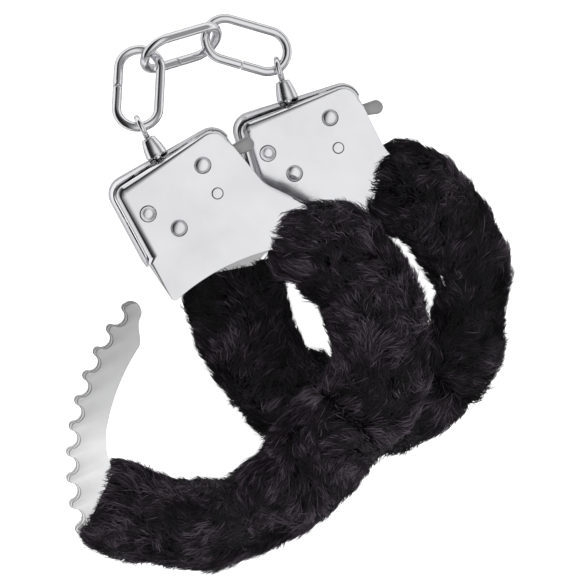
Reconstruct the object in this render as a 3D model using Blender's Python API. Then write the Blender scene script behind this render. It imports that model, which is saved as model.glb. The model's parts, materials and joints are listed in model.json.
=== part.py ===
"""A pair of fur-sleeved ratchet handcuffs joined by a short chain of oval links.

Each cuff is drawn in its own frame in millimetres: the hinge of the arm is the origin, +Y runs to the
swivel, +X to the bow and Z across the two cheek plates. The cuff is then placed in the row's frame.
"""

import math

import bmesh
import bpy
from mathutils import Matrix, Vector
from mathutils.geometry import tessellate_polygon

MM = 0.001

# Placement of the two cuffs: hinge position, and the turn of the cuff's axis to the left of +Y.
CUFF_A_AT = (5.95, -44.85, 32.4)
CUFF_A_TURN = 28.0
CUFF_B_OFFSET = (19.8, -4.68, -22.0)
CUFF_B_TURN = -12.0
REST_CLOSING_A = 0.0
REST_CLOSING_B = 44.2

# Ratchet.
TEETH = 10
PITCH_DEG = 6.06
TIP_RADIUS = 70.15
SCOOP_CENTRE_RADIUS = 69.9
SCOOP_RADIUS = 2.6
CREST_RADIUS = 1.36
FIRST_TIP_DEG = 23.8
STRIP_INNER_RADIUS = 59.6
STRIP_INNER_RADIUS_AT_TIP = 64.2
ARM_HALF_THICKNESS = 1.5
ARM_HALF_WIDTH = 4.7
ARM_SHOULDER_HALF_WIDTH = 2.6
ARM_BOSS_RADIUS = 5.6
ARM_BOSS_HALF_THICKNESS = 2.2
LAST_TOOTH_DEG = FIRST_TIP_DEG + (TEETH - 1) * PITCH_DEG
STRIP_MIDDLE_RADIUS = 0.5 * (TIP_RADIUS + STRIP_INNER_RADIUS)
ARM_NEAR_HANDLE = (-20.0, -9.0)
ARM_FAR_REACH = 12.0

# Cheek plates.
LOCK_LEFT = 17.2
LOCK_TOP = 95.6
LOCK_TOP_RISE = 0.7
LOCK_SHOULDER_TOP = 19.6
LOCK_SHOULDER = (22.3, 74.0)
LOCK_SHOULDER_END = (31.0, 62.2)
WRIST_EDGE_RADIUS = 60.0
SLOT_TOP = 69.8
FACE_Z = 3.9
BOW_FACE_Z = 3.5
SHEET = 1.2
INNER_Z = FACE_Z - SHEET
SEAM_HALF_GAP = 0.16
BEND_RADIUS = 1.1
BOW_HALF_WIDTH = 5.5
BOW_SEMI_X = 33.0
BOW_SEMI_Y = 33.0
BOW_SQUARENESS = 2.6
HINGE_BOSS_RADIUS = 6.2

# Pins and rivets, as positions in the cuff frame.
RIVET_LEFT_AT = (-9.8, 83.2)
RIVET_MID_AT = (-4.2, 75.6)
RIVET_RIGHT_AT = (9.7, 87.8)
PAWL_PIN_AT = (9.6, 79.0)
KEY_POST_AT = (5.0, 78.2)
RIVET_HEAD_RADIUS = 2.25
RIVET_SHANK_RADIUS = 1.6
PIN_HEAD_RADIUS = 1.55
PIN_SHANK_RADIUS = 1.1
HOLE_GAP = 0.3

# Lock parts.
PAWL_REST_DEG = 14.0
PAWL_TOOTH_TIP_RADIUS = 67.75
PAWL_BOTTOM_RADIUS = 70.6
PAWL_TOP_RADIUS = 72.9
PAWL_FIRST_TOOTH_DEG = FIRST_TIP_DEG + 0.5 * PITCH_DEG - REST_CLOSING_B + 2 * PITCH_DEG
LEVER_NOSE_AT = (-1.0, 82.0)
LEVER_NECK_AT = (18.6, 86.7)
LEVER_TAB_AT = (23.2, 86.5)
LEVER_TAB_RADIUS = 1.95

# Swivel and chain.
COLLAR_BASE_Y = 96.2
COLLAR_TOP_Y = 101.0
EYE_RADIUS = 2.8
EYE_WIRE = 0.8
EYE_RISE = 0.9
EYE_Y = COLLAR_TOP_Y + EYE_RADIUS + EYE_RISE
EYE_SPIN_B = 7.7
LINK_END_RADIUS = 5.8
LINK_HALF_STRAIGHT = 6.15
LINK_WIRE = 1.35
LINK_SEAM = 0.4
LINK_1 = {"centre": (4.39, 113.58, -6.81), "long": (0.468, 0.696, -0.544), "face": (-0.213, -0.509, -0.834)}
LINK_2 = {"centre": (20.13, 116.74, -16.07), "long": (0.857, -0.236, -0.458), "face": (0.128, -0.764, 0.633)}
LINK_3 = {"centre": (36.62, 107.94, -22.08), "long": (0.708, -0.703, -0.070), "face": (0.229, 0.134, 0.964)}

# Fur sleeves.
FUR_HALF_WIDTH = 13.4
FUR_HALF_HEIGHT = 10.4
FUR_HINGE_RADIUS = 13.2
FUR_HINGE_GAP = 0.8
FUR_LOCK_END_A_DEG = 52.0
FUR_LOCK_END_B_DEG = 60.0
FUR_END_HALF_WIDTH = 10.7
FUR_END_HALF_HEIGHT = 7.6
FUR_CUTTER_REACH = 20.0
BOW_CHANNEL_HALF_WIDTH = 6.4
BOW_CHANNEL_GROWTH = 2.0
BOW_CHANNEL_HALF_HEIGHT = 4.5
ARM_CHANNEL_HALF_WIDTH = 5.9
ARM_CHANNEL_HALF_HEIGHT = 2.2
SWING_START_DEG = 12.0
SWING_END_DEG = 214.0
SHOULDER_ROOM = [(9.0, 52.5), (27.5, 56.0), (32.5, 62.5), (25.5, 75.5), (23.4, 90.0), (0.0, 90.0), (0.0, 57.0)]
SHOULDER_ROOM_TOP = 4.5
ARM_FUR_NEAR_HANDLE = (-20.0, -6.8)
ARM_FUR_FAR_HANDLE = (-49.0, -2.5)
ARM_FUR_END = (63.6, 72.7)
ARM_FUR_END_INNER_DEG = 66.0
ARM_FUR_END_OUTER_DEG = 79.5


def polar(radius, degrees):
    """A point this far from the hinge, at this angle from +Y towards -X."""
    turn = math.radians(degrees)
    return (-radius * math.sin(turn), radius * math.cos(turn))


def arc(centre, radius, start, end, count):
    """Points on a circle, with angles in degrees from +X."""
    turns = [math.radians(start + (end - start) * i / (count - 1)) for i in range(count)]
    return [(centre[0] + radius * math.cos(t), centre[1] + radius * math.sin(t)) for t in turns]


def rounded(corners, steps=4):
    """A closed outline through corners given as (x, y, radius), each cut back to an arc."""
    out = []
    count = len(corners)
    for i in range(count):
        x, y, radius = corners[i]
        here = Vector((x, y))
        before = Vector(corners[i - 1][:2]) - here
        after = Vector(corners[(i + 1) % count][:2]) - here
        if radius <= 0 or before.length < 1e-6 or after.length < 1e-6:
            out.append((x, y))
            continue
        before.normalize()
        after.normalize()
        half = 0.5 * math.acos(max(-1.0, min(1.0, before.dot(after))))
        if half > math.radians(88.5):
            out.append((x, y))
            continue
        reach = radius / math.tan(half)
        middle = (before + after).normalized()
        centre = here + middle * (radius / math.sin(half))
        start = here + before * reach - centre
        end = here + after * reach - centre
        turn = math.atan2(start.x * end.y - start.y * end.x, start.dot(end))
        for k in range(steps + 1):
            t = turn * k / steps
            p = Matrix.Rotation(t, 2) @ start
            out.append((centre.x + p.x, centre.y + p.y))
    return out


def offset_path(points, distance):
    """An open path moved to its left by the distance, which is one number or one for each point."""
    out = []
    last = len(points) - 1
    for i, point in enumerate(points):
        ahead = Vector(points[min(i + 1, last)]) - Vector(points[max(i - 1, 0)])
        ahead.normalize()
        d = distance[i] if isinstance(distance, list) else distance
        out.append((point[0] - ahead.y * d, point[1] + ahead.x * d))
    return out


def inset_loop(loop, distance):
    """A closed loop moved towards its left side."""
    out = []
    count = len(loop)
    for i in range(count):
        a = Vector(loop[i]) - Vector(loop[i - 1])
        b = Vector(loop[(i + 1) % count]) - Vector(loop[i])
        a.normalize()
        b.normalize()
        left = Vector((-a.y - b.y, a.x + b.x))
        if left.length < 1e-9:
            left = Vector((-a.y, a.x))
        left.normalize()
        cosine = max(0.6, left.dot(Vector((-a.y, a.x))))
        out.append((loop[i][0] + left.x * distance / cosine, loop[i][1] + left.y * distance / cosine))
    return out


def object_from(name, points, faces):
    mesh = bpy.data.meshes.new(name)
    mesh.from_pydata([Vector(p) * MM for p in points], [], faces)
    work = bmesh.new()
    work.from_mesh(mesh)
    bmesh.ops.remove_doubles(work, verts=work.verts, dist=1e-7)
    bmesh.ops.recalc_face_normals(work, faces=work.faces)
    if work.calc_volume(signed=True) < 0:
        bmesh.ops.reverse_faces(work, faces=work.faces)
    work.to_mesh(mesh)
    work.free()
    obj = bpy.data.objects.new(name, mesh)
    bpy.context.scene.collection.objects.link(obj)
    return obj


def prism(name, outer, low, high, holes=(), round_low=0.0, round_high=0.0, steps=2):
    """A flat plate from a counter-clockwise outline and clockwise holes, with its rims rounded."""
    levels = []
    for k in range(steps + 1):
        t = 0.5 * math.pi * k / steps
        if round_low > 0:
            levels.append((round_low * (1 - math.sin(t)), low + round_low * (1 - math.cos(t))))
    if round_low <= 0:
        levels.append((0.0, low))
    for k in range(steps + 1):
        t = 0.5 * math.pi * k / steps
        if round_high > 0:
            levels.append((round_high * (1 - math.cos(t)), high - round_high * (1 - math.sin(t))))
    if round_high <= 0:
        levels.append((0.0, high))
    kept = [levels[0]]
    for level in levels[1:]:
        if abs(level[1] - kept[-1][1]) > 1e-4:
            kept.append(level)
    loops = [list(outer)] + [list(hole) for hole in holes]
    points = []
    rings = []
    for inset, z in kept:
        row = []
        for loop in loops:
            moved = inset_loop(loop, inset) if inset > 0 else loop
            row.append(range(len(points), len(points) + len(moved)))
            points.extend((x, y, z) for x, y in moved)
        rings.append(row)
    faces = []
    for lower, upper in zip(rings, rings[1:]):
        for a, b in zip(lower, upper):
            n = len(a)
            for i in range(n):
                faces.append((a[i], a[(i + 1) % n], b[(i + 1) % n], b[i]))
    for row, flip in ((rings[0], True), (rings[-1], False)):
        flat = [[Vector((points[i][0], points[i][1], 0)) for i in ring] for ring in row]
        index = [i for ring in row for i in ring]
        for triangle in tessellate_polygon(flat):
            corners = [index[i] for i in triangle]
            faces.append(tuple(reversed(corners)) if flip else tuple(corners))
    return object_from(name, points, faces)


def loft(name, rings, closed=False):
    """Skin over rings of points of equal count, capped at both ends unless it closes on itself."""
    points = [p for ring in rings for p in ring]
    n = len(rings[0])
    faces = []
    count = len(rings)
    for r in range(count if closed else count - 1):
        a = r * n
        b = ((r + 1) % count) * n
        for i in range(n):
            faces.append((a + i, a + (i + 1) % n, b + (i + 1) % n, b + i))
    if not closed:
        faces.append(tuple(reversed(range(n))))
        faces.append(tuple(range((count - 1) * n, count * n)))
    return object_from(name, points, faces)


def lathe(name, profile, segments, axis="Z"):
    """Turns a profile of (radius, height) about the axis through the origin; both ends lie on the axis."""
    rings = []
    for radius, height in profile:
        ring = []
        for i in range(segments):
            t = 2 * math.pi * i / segments
            x = max(radius, 1e-4) * math.cos(t)
            y = max(radius, 1e-4) * math.sin(t)
            ring.append((x, y, height) if axis == "Z" else (y, height, x))
        rings.append(ring)
    return loft(name, rings)


def tube(name, path, radius, segments=10, closed=False, normal=Vector((0, 0, 1))):
    """A round wire along a path that lies in the plane with this normal."""
    rings = []
    count = len(path)
    normal = Vector(normal).normalized()
    for i in range(count):
        if closed:
            ahead = Vector(path[(i + 1) % count]) - Vector(path[i - 1])
        else:
            ahead = Vector(path[min(i + 1, count - 1)]) - Vector(path[max(i - 1, 0)])
        side = ahead.normalized().cross(normal)
        ring = []
        for k in range(segments):
            t = 2 * math.pi * k / segments
            ring.append(Vector(path[i]) + radius * (math.cos(t) * side + math.sin(t) * normal))
        rings.append(ring)
    return loft(name, rings, closed)


def combine(obj, other, operation):
    """Applies a Boolean to the mesh and removes the helper."""
    modifier = obj.modifiers.new("shape", "BOOLEAN")
    modifier.operation = operation
    modifier.solver = "EXACT"
    modifier.object = other
    bpy.context.view_layer.update()
    graph = bpy.context.evaluated_depsgraph_get()
    result = bpy.data.meshes.new_from_object(obj.evaluated_get(graph))
    obj.modifiers.clear()
    obj.data = result
    bpy.data.objects.remove(other, do_unlink=True)
    return obj


def cut(obj, other):
    return combine(obj, other, "DIFFERENCE")


def join(obj, other):
    return combine(obj, other, "UNION")


def tidy(obj, distance=2e-6):
    work = bmesh.new()
    work.from_mesh(obj.data)
    bmesh.ops.dissolve_degenerate(work, dist=distance, edges=work.edges)
    bmesh.ops.remove_doubles(work, verts=work.verts, dist=distance)
    bmesh.ops.triangulate(work, faces=work.faces)
    work.to_mesh(obj.data)
    work.free()
    return obj


def disc(name, at, radius, low, high, segments=24, round_low=0.0, round_high=0.0):
    ring = arc(at, radius, 0, 360 - 360 / segments, segments)
    return prism(name, ring, low, high, (), round_low, round_high)


def bar(name, start, end, start_half, end_half, low, high, rim=0.0):
    """A tapered strip between two points with round ends."""
    a = Vector(start)
    b = Vector(end)
    heading = math.degrees(math.atan2(b.y - a.y, b.x - a.x))
    outline = arc(end, end_half, heading - 88, heading + 88, 7)
    outline += arc(start, start_half, heading + 92, heading + 268, 7)
    return prism(name, outline, low, high, (), rim, rim)


def material(name, colour, roughness, metallic):
    made = bpy.data.materials.get(name)
    if made:
        return made
    made = bpy.data.materials.new(name)
    made.use_nodes = True
    shader = made.node_tree.nodes["Principled BSDF"]
    shader.inputs["Base Color"].default_value = (colour[0], colour[1], colour[2], 1.0)
    shader.inputs["Roughness"].default_value = roughness
    shader.inputs["Metallic"].default_value = metallic
    return made


def finish(obj, node, placement, origin, look, sharp=35.0):
    """Names the node, puts its origin on its joint axis and moves it to its place in the row."""
    tidy(obj)
    obj.name = node
    obj.data.name = node
    obj.data.materials.clear()
    obj.data.materials.append(look)
    centre = Vector(origin) * MM
    obj.data.transform(Matrix.Translation(-centre))
    for polygon in obj.data.polygons:
        polygon.use_smooth = True
    obj.data.set_sharp_from_angle(angle=math.radians(sharp))
    obj.matrix_world = placement @ Matrix.Translation(centre)
    return obj


def bow_point(degrees):
    """The bow's centre line, from the hinge at -90 degrees up to the lock."""
    t = math.radians(degrees)
    power = 2.0 / BOW_SQUARENESS
    x = BOW_SEMI_X * abs(math.cos(t)) ** power
    y = BOW_SEMI_Y + BOW_SEMI_Y * math.copysign(abs(math.sin(t)) ** power, math.sin(t))
    return (x, y)


def bow_line(start, end, count):
    return [bow_point(start + (end - start) * i / (count - 1)) for i in range(count)]


def bezier(near, far, last, start, end, count):
    """A cubic curve from the hinge, between two shares of its length."""
    out = []
    for i in range(count):
        t = start + (end - start) * i / (count - 1)
        u = 1 - t
        p = 3 * u * u * t * near + 3 * u * t * t * far + t ** 3 * last
        out.append((p.x, p.y))
    return out


def arm_line(start, end, count):
    """The arm's centre line from the hinge to the toothed strip, in the arm's rest frame."""
    last = Vector(polar(STRIP_MIDDLE_RADIUS, LAST_TOOTH_DEG))
    along = Vector(polar(1.0, LAST_TOOTH_DEG + 90.0))
    return bezier(Vector(ARM_NEAR_HANDLE), last + along * ARM_FAR_REACH, last, start, end, count)


def tooth_radius(distance):
    """The ratchet's profile at this distance along the arc from the middle of a valley."""
    half = math.radians(PITCH_DEG) * TIP_RADIUS / 2
    s = abs(distance)
    if s < half - CREST_RADIUS + 0.01:
        reach = max(0.0, SCOOP_RADIUS ** 2 - s * s)
        return SCOOP_CENTRE_RADIUS - math.sqrt(reach)
    rise = max(0.0, CREST_RADIUS ** 2 - (half - s) ** 2)
    return TIP_RADIUS - CREST_RADIUS + math.sqrt(rise)


def arm_outline():
    half = math.radians(PITCH_DEG) * TIP_RADIUS / 2
    stations = (-1.0, -0.83, -0.68, -0.55, -0.3, 0.0, 0.3, 0.55, 0.68, 0.83)
    teeth = []
    for k in range(TEETH - 1):
        valley = FIRST_TIP_DEG + (k + 0.5) * PITCH_DEG
        for share in stations:
            radius = tooth_radius(share * half)
            teeth.append(polar(radius, valley + 0.5 * share * PITCH_DEG))
    teeth.append(polar(TIP_RADIUS, LAST_TOOTH_DEG))
    ring = arm_line(0.07, 0.97, 15)
    narrowing = ARM_HALF_WIDTH - ARM_SHOULDER_HALF_WIDTH
    outer_half = [ARM_HALF_WIDTH - narrowing * ease((i - 9) / 4.0) for i in range(len(ring))]
    outer = list(reversed(offset_path(ring, outer_half)))
    boss = arc((0, 0), ARM_BOSS_RADIUS, -80, 80, 9)
    inner = offset_path(ring, -ARM_HALF_WIDTH)
    strip = []
    inner_end = FIRST_TIP_DEG + 6.2
    for i in range(9):
        angle = LAST_TOOTH_DEG - 2.0 + (inner_end - LAST_TOOTH_DEG + 2.0) * i / 8
        strip.append(polar(STRIP_INNER_RADIUS, angle))
    for share in (0.25, 0.5, 0.75):
        radius = STRIP_INNER_RADIUS + (STRIP_INNER_RADIUS_AT_TIP - STRIP_INNER_RADIUS) * ease(share)
        strip.append(polar(radius, inner_end + (FIRST_TIP_DEG - 0.6 - inner_end) * share))
    heel = Vector(polar(67.1, FIRST_TIP_DEG + 0.1))
    cap = []
    for i in range(7):
        turn = math.radians(FIRST_TIP_DEG - 82 + 23.5 * i)
        cap.append((heel.x + 2.95 * math.cos(turn), heel.y + 2.95 * math.sin(turn)))
    return teeth + outer + boss + inner + strip + cap


def plate_outline():
    wrist = [polar(WRIST_EDGE_RADIUS, 12.4 + (-17.6 - 12.4) * i / 9) for i in range(10)]
    rise = bow_line(-84.0, 36.0, 18)
    inner_line = bow_line(-84.0, 47.0, 19)
    inner = list(reversed(offset_path(inner_line, BOW_HALF_WIDTH)))
    boss = arc((0, 0), HINGE_BOSS_RADIUS, 86, 274, 13)
    outer = offset_path(rise, -BOW_HALF_WIDTH)
    open_run = wrist + inner + boss + outer
    corners = [(x, y, 0.0) for x, y in open_run]
    corners += [
        (LOCK_SHOULDER_END[0], LOCK_SHOULDER_END[1], 3.0),
        (LOCK_SHOULDER[0], LOCK_SHOULDER[1], 12.0),
        (LOCK_SHOULDER_TOP, LOCK_TOP + 0.5 * LOCK_TOP_RISE, 5.2),
        (-LOCK_LEFT + 0.2, LOCK_TOP - LOCK_TOP_RISE, 4.8),
        (-LOCK_LEFT, SLOT_TOP + 0.4, 4.0),
        (-15.1, 57.75, 1.3),
    ]
    return rounded(corners)


def cavity_outline():
    wall = SHEET
    return rounded(
        [
            (-45, SLOT_TOP, 0),
            (-LOCK_LEFT + wall, SLOT_TOP, 0),
            (-LOCK_LEFT + wall + 0.1, LOCK_TOP - LOCK_TOP_RISE - wall, 3.7),
            (LOCK_SHOULDER_TOP - wall, LOCK_TOP + 0.5 * LOCK_TOP_RISE - wall, 4.1),
            (LOCK_SHOULDER[0] - wall, LOCK_SHOULDER[1] - 0.3, 12.0),
            (26.0, 67.0, 0),
            (48, 74, 0),
            (60, 20, 0),
            (45, -30, 0),
            (-45, -30, 0),
        ]
    )


def cheek_plate(name, side, keyhole):
    """One of the two cheek plates with its bent rim; side is +1 for the front and -1 for the back."""
    outline = plate_outline()
    front = prism(name, outline, SEAM_HALF_GAP, FACE_Z, (), 0.0, BEND_RADIUS, 3)
    cut(front, prism("cavity", cavity_outline(), -2.0, INNER_Z))
    # the bow's strand lies a little below the lock's face
    step = [(10.5, 51.6), (34.0, 76.0), (70, 76), (70, -30), (-30, -30), (-30, 51.6)]
    cut(front, prism("step", step, BOW_FACE_Z, FACE_Z + 3))
    for at in (RIVET_LEFT_AT, RIVET_MID_AT, RIVET_RIGHT_AT):
        cut(front, disc("hole", at, RIVET_HEAD_RADIUS + HOLE_GAP, 0, 8, 20))
    cut(front, disc("hole", PAWL_PIN_AT, PIN_HEAD_RADIUS + HOLE_GAP, 0, 8, 18))
    cut(front, disc("hole", (0, 0), 2.0 + HOLE_GAP, 0, 8, 20))
    # half of the swivel's hole through the top wall, and the tab's slot through the right wall
    shank = lathe("shank", [(0, 88), (1.6, 88.001), (1.6, 99.999), (0, 100)], 18, "Y")
    cut(front, shank)
    slot = [(17.4, 83.9), (24.5, 83.9), (24.5, 91.2), (17.4, 91.2)]
    cut(front, prism("slot", slot, -2, 1.75))
    if keyhole:
        x, y = KEY_POST_AT
        cut(front, disc("round", KEY_POST_AT, 1.9, 0, 8, 20))
        cut(front, bar("ward", (x, y + 0.4), (x, y + 3.8), 0.75, 0.75, 0, 8))
    if side < 0:
        front.data.transform(Matrix.Diagonal((1, 1, -1, 1)))
        front.data.flip_normals()
    return front


def rivet(name, at, head, shank, domed):
    edge = FACE_Z - 0.12
    if domed:
        end = [(0, FACE_Z + 0.55), (head * 0.4, FACE_Z + 0.46), (head * 0.7, FACE_Z + 0.28), (head * 0.92, FACE_Z + 0.03)]
    else:
        end = [(0, FACE_Z + 0.34), (head * 0.5, FACE_Z + 0.24), (head * 0.84, FACE_Z + 0.04)]
    profile = end + [(head, edge - 0.1), (head, 2.05), (shank, 1.85)]
    whole = profile + [(r, -z) for r, z in reversed(profile)]
    obj = lathe(name, list(reversed(whole)), 16)
    obj.data.transform(Matrix.Translation(Vector((at[0], at[1], 0)) * MM))
    return obj


def hinge_rivet(name):
    low = BOW_FACE_Z + 0.3
    profile = [(0, low + 1.1), (2.2, low + 0.9), (3.3, low + 0.3), (3.4, low), (2.0, low)]
    whole = profile + [(r, -z) for r, z in reversed(profile)]
    return lathe(name, list(reversed(whole)), 16)


def pawl(name):
    boss = disc(name, RIVET_MID_AT, 2.9, -1.3, 1.3, 20)
    top = []
    first = PAWL_FIRST_TOOTH_DEG
    start = 3.3
    end = first - PITCH_DEG - 2.4
    for i in range(9):
        angle = start + (end - start) * i / 8
        top.append(polar(PAWL_TOP_RADIUS + 1.7 * ease((angle + 0.8) / 4.0), angle))
    path = [polar(PAWL_BOTTOM_RADIUS, start)]
    for k in range(2):
        middle = first - k * PITCH_DEG
        path.append(polar(PAWL_BOTTOM_RADIUS, middle + 1.55))
        path.append(polar(PAWL_TOOTH_TIP_RADIUS + 0.15, middle + 0.5))
        path.append(polar(PAWL_TOOTH_TIP_RADIUS, middle))
        path.append(polar(PAWL_TOOTH_TIP_RADIUS + 0.15, middle - 0.5))
        path.append(polar(PAWL_BOTTOM_RADIUS, middle - 1.55))
    path.append(polar(PAWL_BOTTOM_RADIUS, end))
    outline = path + list(reversed(top))
    join(boss, prism("beam", outline, -1.25, 1.25))
    lean = math.radians(90 - PAWL_REST_DEG)
    tail_end = (RIVET_MID_AT[0] + 8.0 * math.cos(lean), RIVET_MID_AT[1] + 8.0 * math.sin(lean))
    join(boss, bar("tail", RIVET_MID_AT, tail_end, 1.5, 1.0, -1.2, 1.2))
    cut(boss, disc("bore", RIVET_MID_AT, RIVET_SHANK_RADIUS + 0.2, -4, 4, 20))
    centre = Vector((RIVET_MID_AT[0], RIVET_MID_AT[1], 0)) * MM
    turn = Matrix.Translation(centre) @ Matrix.Rotation(math.radians(PAWL_REST_DEG), 4, "Z")
    boss.data.transform(turn @ Matrix.Translation(-centre))
    return boss


def lever(name):
    boss = disc(name, RIVET_RIGHT_AT, 3.0, -1.3, 1.3, 20)
    join(boss, bar("nose", RIVET_RIGHT_AT, LEVER_NOSE_AT, 1.6, 1.1, -1.2, 1.2))
    join(boss, bar("neck", RIVET_RIGHT_AT, LEVER_NECK_AT, 1.7, 1.35, -1.15, 1.15, 0.35))
    join(boss, bar("reach", (17.4, 86.85), LEVER_TAB_AT, 1.3, LEVER_TAB_RADIUS, -1.25, 1.25, 0.5))
    cut(boss, disc("bore", RIVET_RIGHT_AT, RIVET_SHANK_RADIUS + 0.2, -4, 4, 20))
    return boss


def pawl_spring(name):
    line = [(-15.2, 73.2), (-15.2, 74.8), (-15.15, 76.2), (-14.3, 77.3), (-11.5, 78.35), (-6.5, 80.1)]
    left = offset_path(line, 0.26)
    right = offset_path(line, -0.26)
    outline = right + list(reversed(left))
    return prism(name, outline, -1.4, 1.4)


def key_post(name):
    profile = [(0, 2.3), (1.5, 2.3), (1.5, 1.7), (1.0, 1.5), (1.0, -3.5), (0.6, -3.75), (0, -3.75)]
    obj = lathe(name, list(reversed(profile)), 16)
    obj.data.transform(Matrix.Translation(Vector((KEY_POST_AT[0], KEY_POST_AT[1], 0)) * MM))
    return obj


def swivel_collar(name):
    base = COLLAR_BASE_Y
    profile = [(0, 91.4), (2.2, 91.4), (2.2, 92.6), (1.3, 93.0), (1.3, base + 0.3), (2.9, base)]
    profile += [(3.1, base + 0.25), (2.95, base + 0.9), (2.5, base + 2.2), (2.15, base + 3.4)]
    profile += [(2.0, COLLAR_TOP_Y - 0.25), (1.8, COLLAR_TOP_Y), (1.25, COLLAR_TOP_Y)]
    profile += [(1.25, COLLAR_TOP_Y - 2.6), (0, COLLAR_TOP_Y - 2.6)]
    return lathe(name, profile, 16, "Y")


def swivel_eye(name, spin):
    ring = []
    for i in range(20):
        t = 2 * math.pi * i / 20
        ring.append(Vector((0, EYE_Y + EYE_RADIUS * math.cos(t), EYE_RADIUS * math.sin(t))))
    eye = tube(name, ring, EYE_WIRE, 8, True, Vector((1, 0, 0)))
    low = COLLAR_TOP_Y - 2.2
    high = COLLAR_TOP_Y + EYE_RISE
    stem = lathe("stem", [(0, low), (0.9, low + 0.001), (0.9, high - 0.001), (0, high)], 12, "Y")
    join(eye, stem)
    eye.data.transform(Matrix.Rotation(math.radians(-spin), 4, "Y"))
    return eye


def link(name, pose):
    """An oval link bent from wire, with its butt seam in the middle of one long side."""
    path = []
    gap = 0.5 * LINK_SEAM
    for i in range(3):
        path.append((gap + (LINK_HALF_STRAIGHT - gap) * i / 3, -LINK_END_RADIUS))
    for i in range(11):
        t = math.radians(-90 + 18 * i)
        path.append((LINK_HALF_STRAIGHT + LINK_END_RADIUS * math.cos(t), LINK_END_RADIUS * math.sin(t)))
    path.append((0, LINK_END_RADIUS))
    for i in range(11):
        t = math.radians(90 + 18 * i)
        path.append((-LINK_HALF_STRAIGHT + LINK_END_RADIUS * math.cos(t), LINK_END_RADIUS * math.sin(t)))
    for i in range(3):
        path.append((-gap - (LINK_HALF_STRAIGHT - gap) * (2 - i) / 3, -LINK_END_RADIUS))
    flat = [Vector((x, y, 0)) for x, y in path]
    obj = tube(name, flat, LINK_WIRE, 10, False, Vector((0, 0, 1)))
    along = Vector(pose["long"]).normalized()
    face = Vector(pose["face"])
    face = (face - along * face.dot(along)).normalized()
    across = face.cross(along)
    frame = Matrix((along, across, face)).transposed().to_4x4()
    obj.data.transform(Matrix.Translation(Vector(pose["centre"]) * MM) @ frame)
    return obj


def oval_ring(at, ahead, half_width, half_height, count=18, squareness=2.3):
    """An upright oval across the heading, as points round it."""
    side = Vector((ahead.y, -ahead.x, 0)).normalized()
    ring = []
    power = 2.0 / squareness
    for k in range(count):
        t = 2 * math.pi * k / count
        c = math.copysign(abs(math.cos(t)) ** power, math.cos(t))
        s = math.copysign(abs(math.sin(t)) ** power, math.sin(t))
        ring.append(Vector((at[0], at[1], 0)) + side * (half_width * c) + Vector((0, 0, half_height * s)))
    return ring


def sweep(name, line, widths, heights, count=18, squareness=2.3):
    rings = []
    last = len(line) - 1
    for i, point in enumerate(line):
        ahead = Vector(line[min(i + 1, last)]) - Vector(line[max(i - 1, 0)])
        ahead = Vector((ahead.x, ahead.y, 0)).normalized()
        rings.append(oval_ring(point, ahead, widths[i], heights[i], count, squareness))
    return loft(name, rings)


def ease(value):
    value = max(0.0, min(1.0, value))
    return value * value * (3 - 2 * value)


def bow_fur(name, lock_end):
    """The sleeve on the bow, with a round end about the hinge that the arm's sleeve turns against."""
    count = 16
    line = bow_line(-90.0, lock_end, count)
    widths = []
    heights = []
    for i in range(count):
        near_lock = ease((count - 1 - i) / 1.6)
        widths.append(FUR_END_HALF_WIDTH + (FUR_HALF_WIDTH - FUR_END_HALF_WIDTH) * near_lock)
        heights.append(FUR_END_HALF_HEIGHT + (FUR_HALF_HEIGHT - FUR_END_HALF_HEIGHT) * near_lock)
    sleeve = sweep(name, line, widths, heights)
    profile = [(0, FUR_HALF_HEIGHT), (7.5, FUR_HALF_HEIGHT), (11.3, 8.6), (FUR_HINGE_RADIUS, 5.0)]
    whole = [(r, -z) for r, z in profile] + [(r, z) for r, z in reversed(profile)]
    join(sleeve, lathe("round_end", whole, 28))
    channel = bow_line(-90.0, lock_end + 9, count)
    room = [BOW_CHANNEL_HALF_WIDTH + BOW_CHANNEL_GROWTH * ease((i - count * 0.68) / 3.0) for i in range(count)]
    cut(sleeve, sweep("channel", channel, room, [BOW_CHANNEL_HALF_HEIGHT] * count, 12, 5.0))
    if lock_end > FUR_LOCK_END_A_DEG:
        # this sleeve has been pushed up over the lock's shoulder; the lock's back stays free to lie flat
        cut(sleeve, prism("shoulder_room", SHOULDER_ROOM, -FUR_CUTTER_REACH, SHOULDER_ROOM_TOP))
    cut(sleeve, disc("hub_room", (0, 0), 7.6, -5.5, 5.5, 24))
    # room for the arm through its whole swing
    fan = [(0, 0)]
    for i in range(14):
        fan.append(polar(26.0, SWING_START_DEG + (SWING_END_DEG - SWING_START_DEG) * i / 13))
    cut(sleeve, prism("swing", fan, -2.5, 2.5))
    return sleeve


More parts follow.
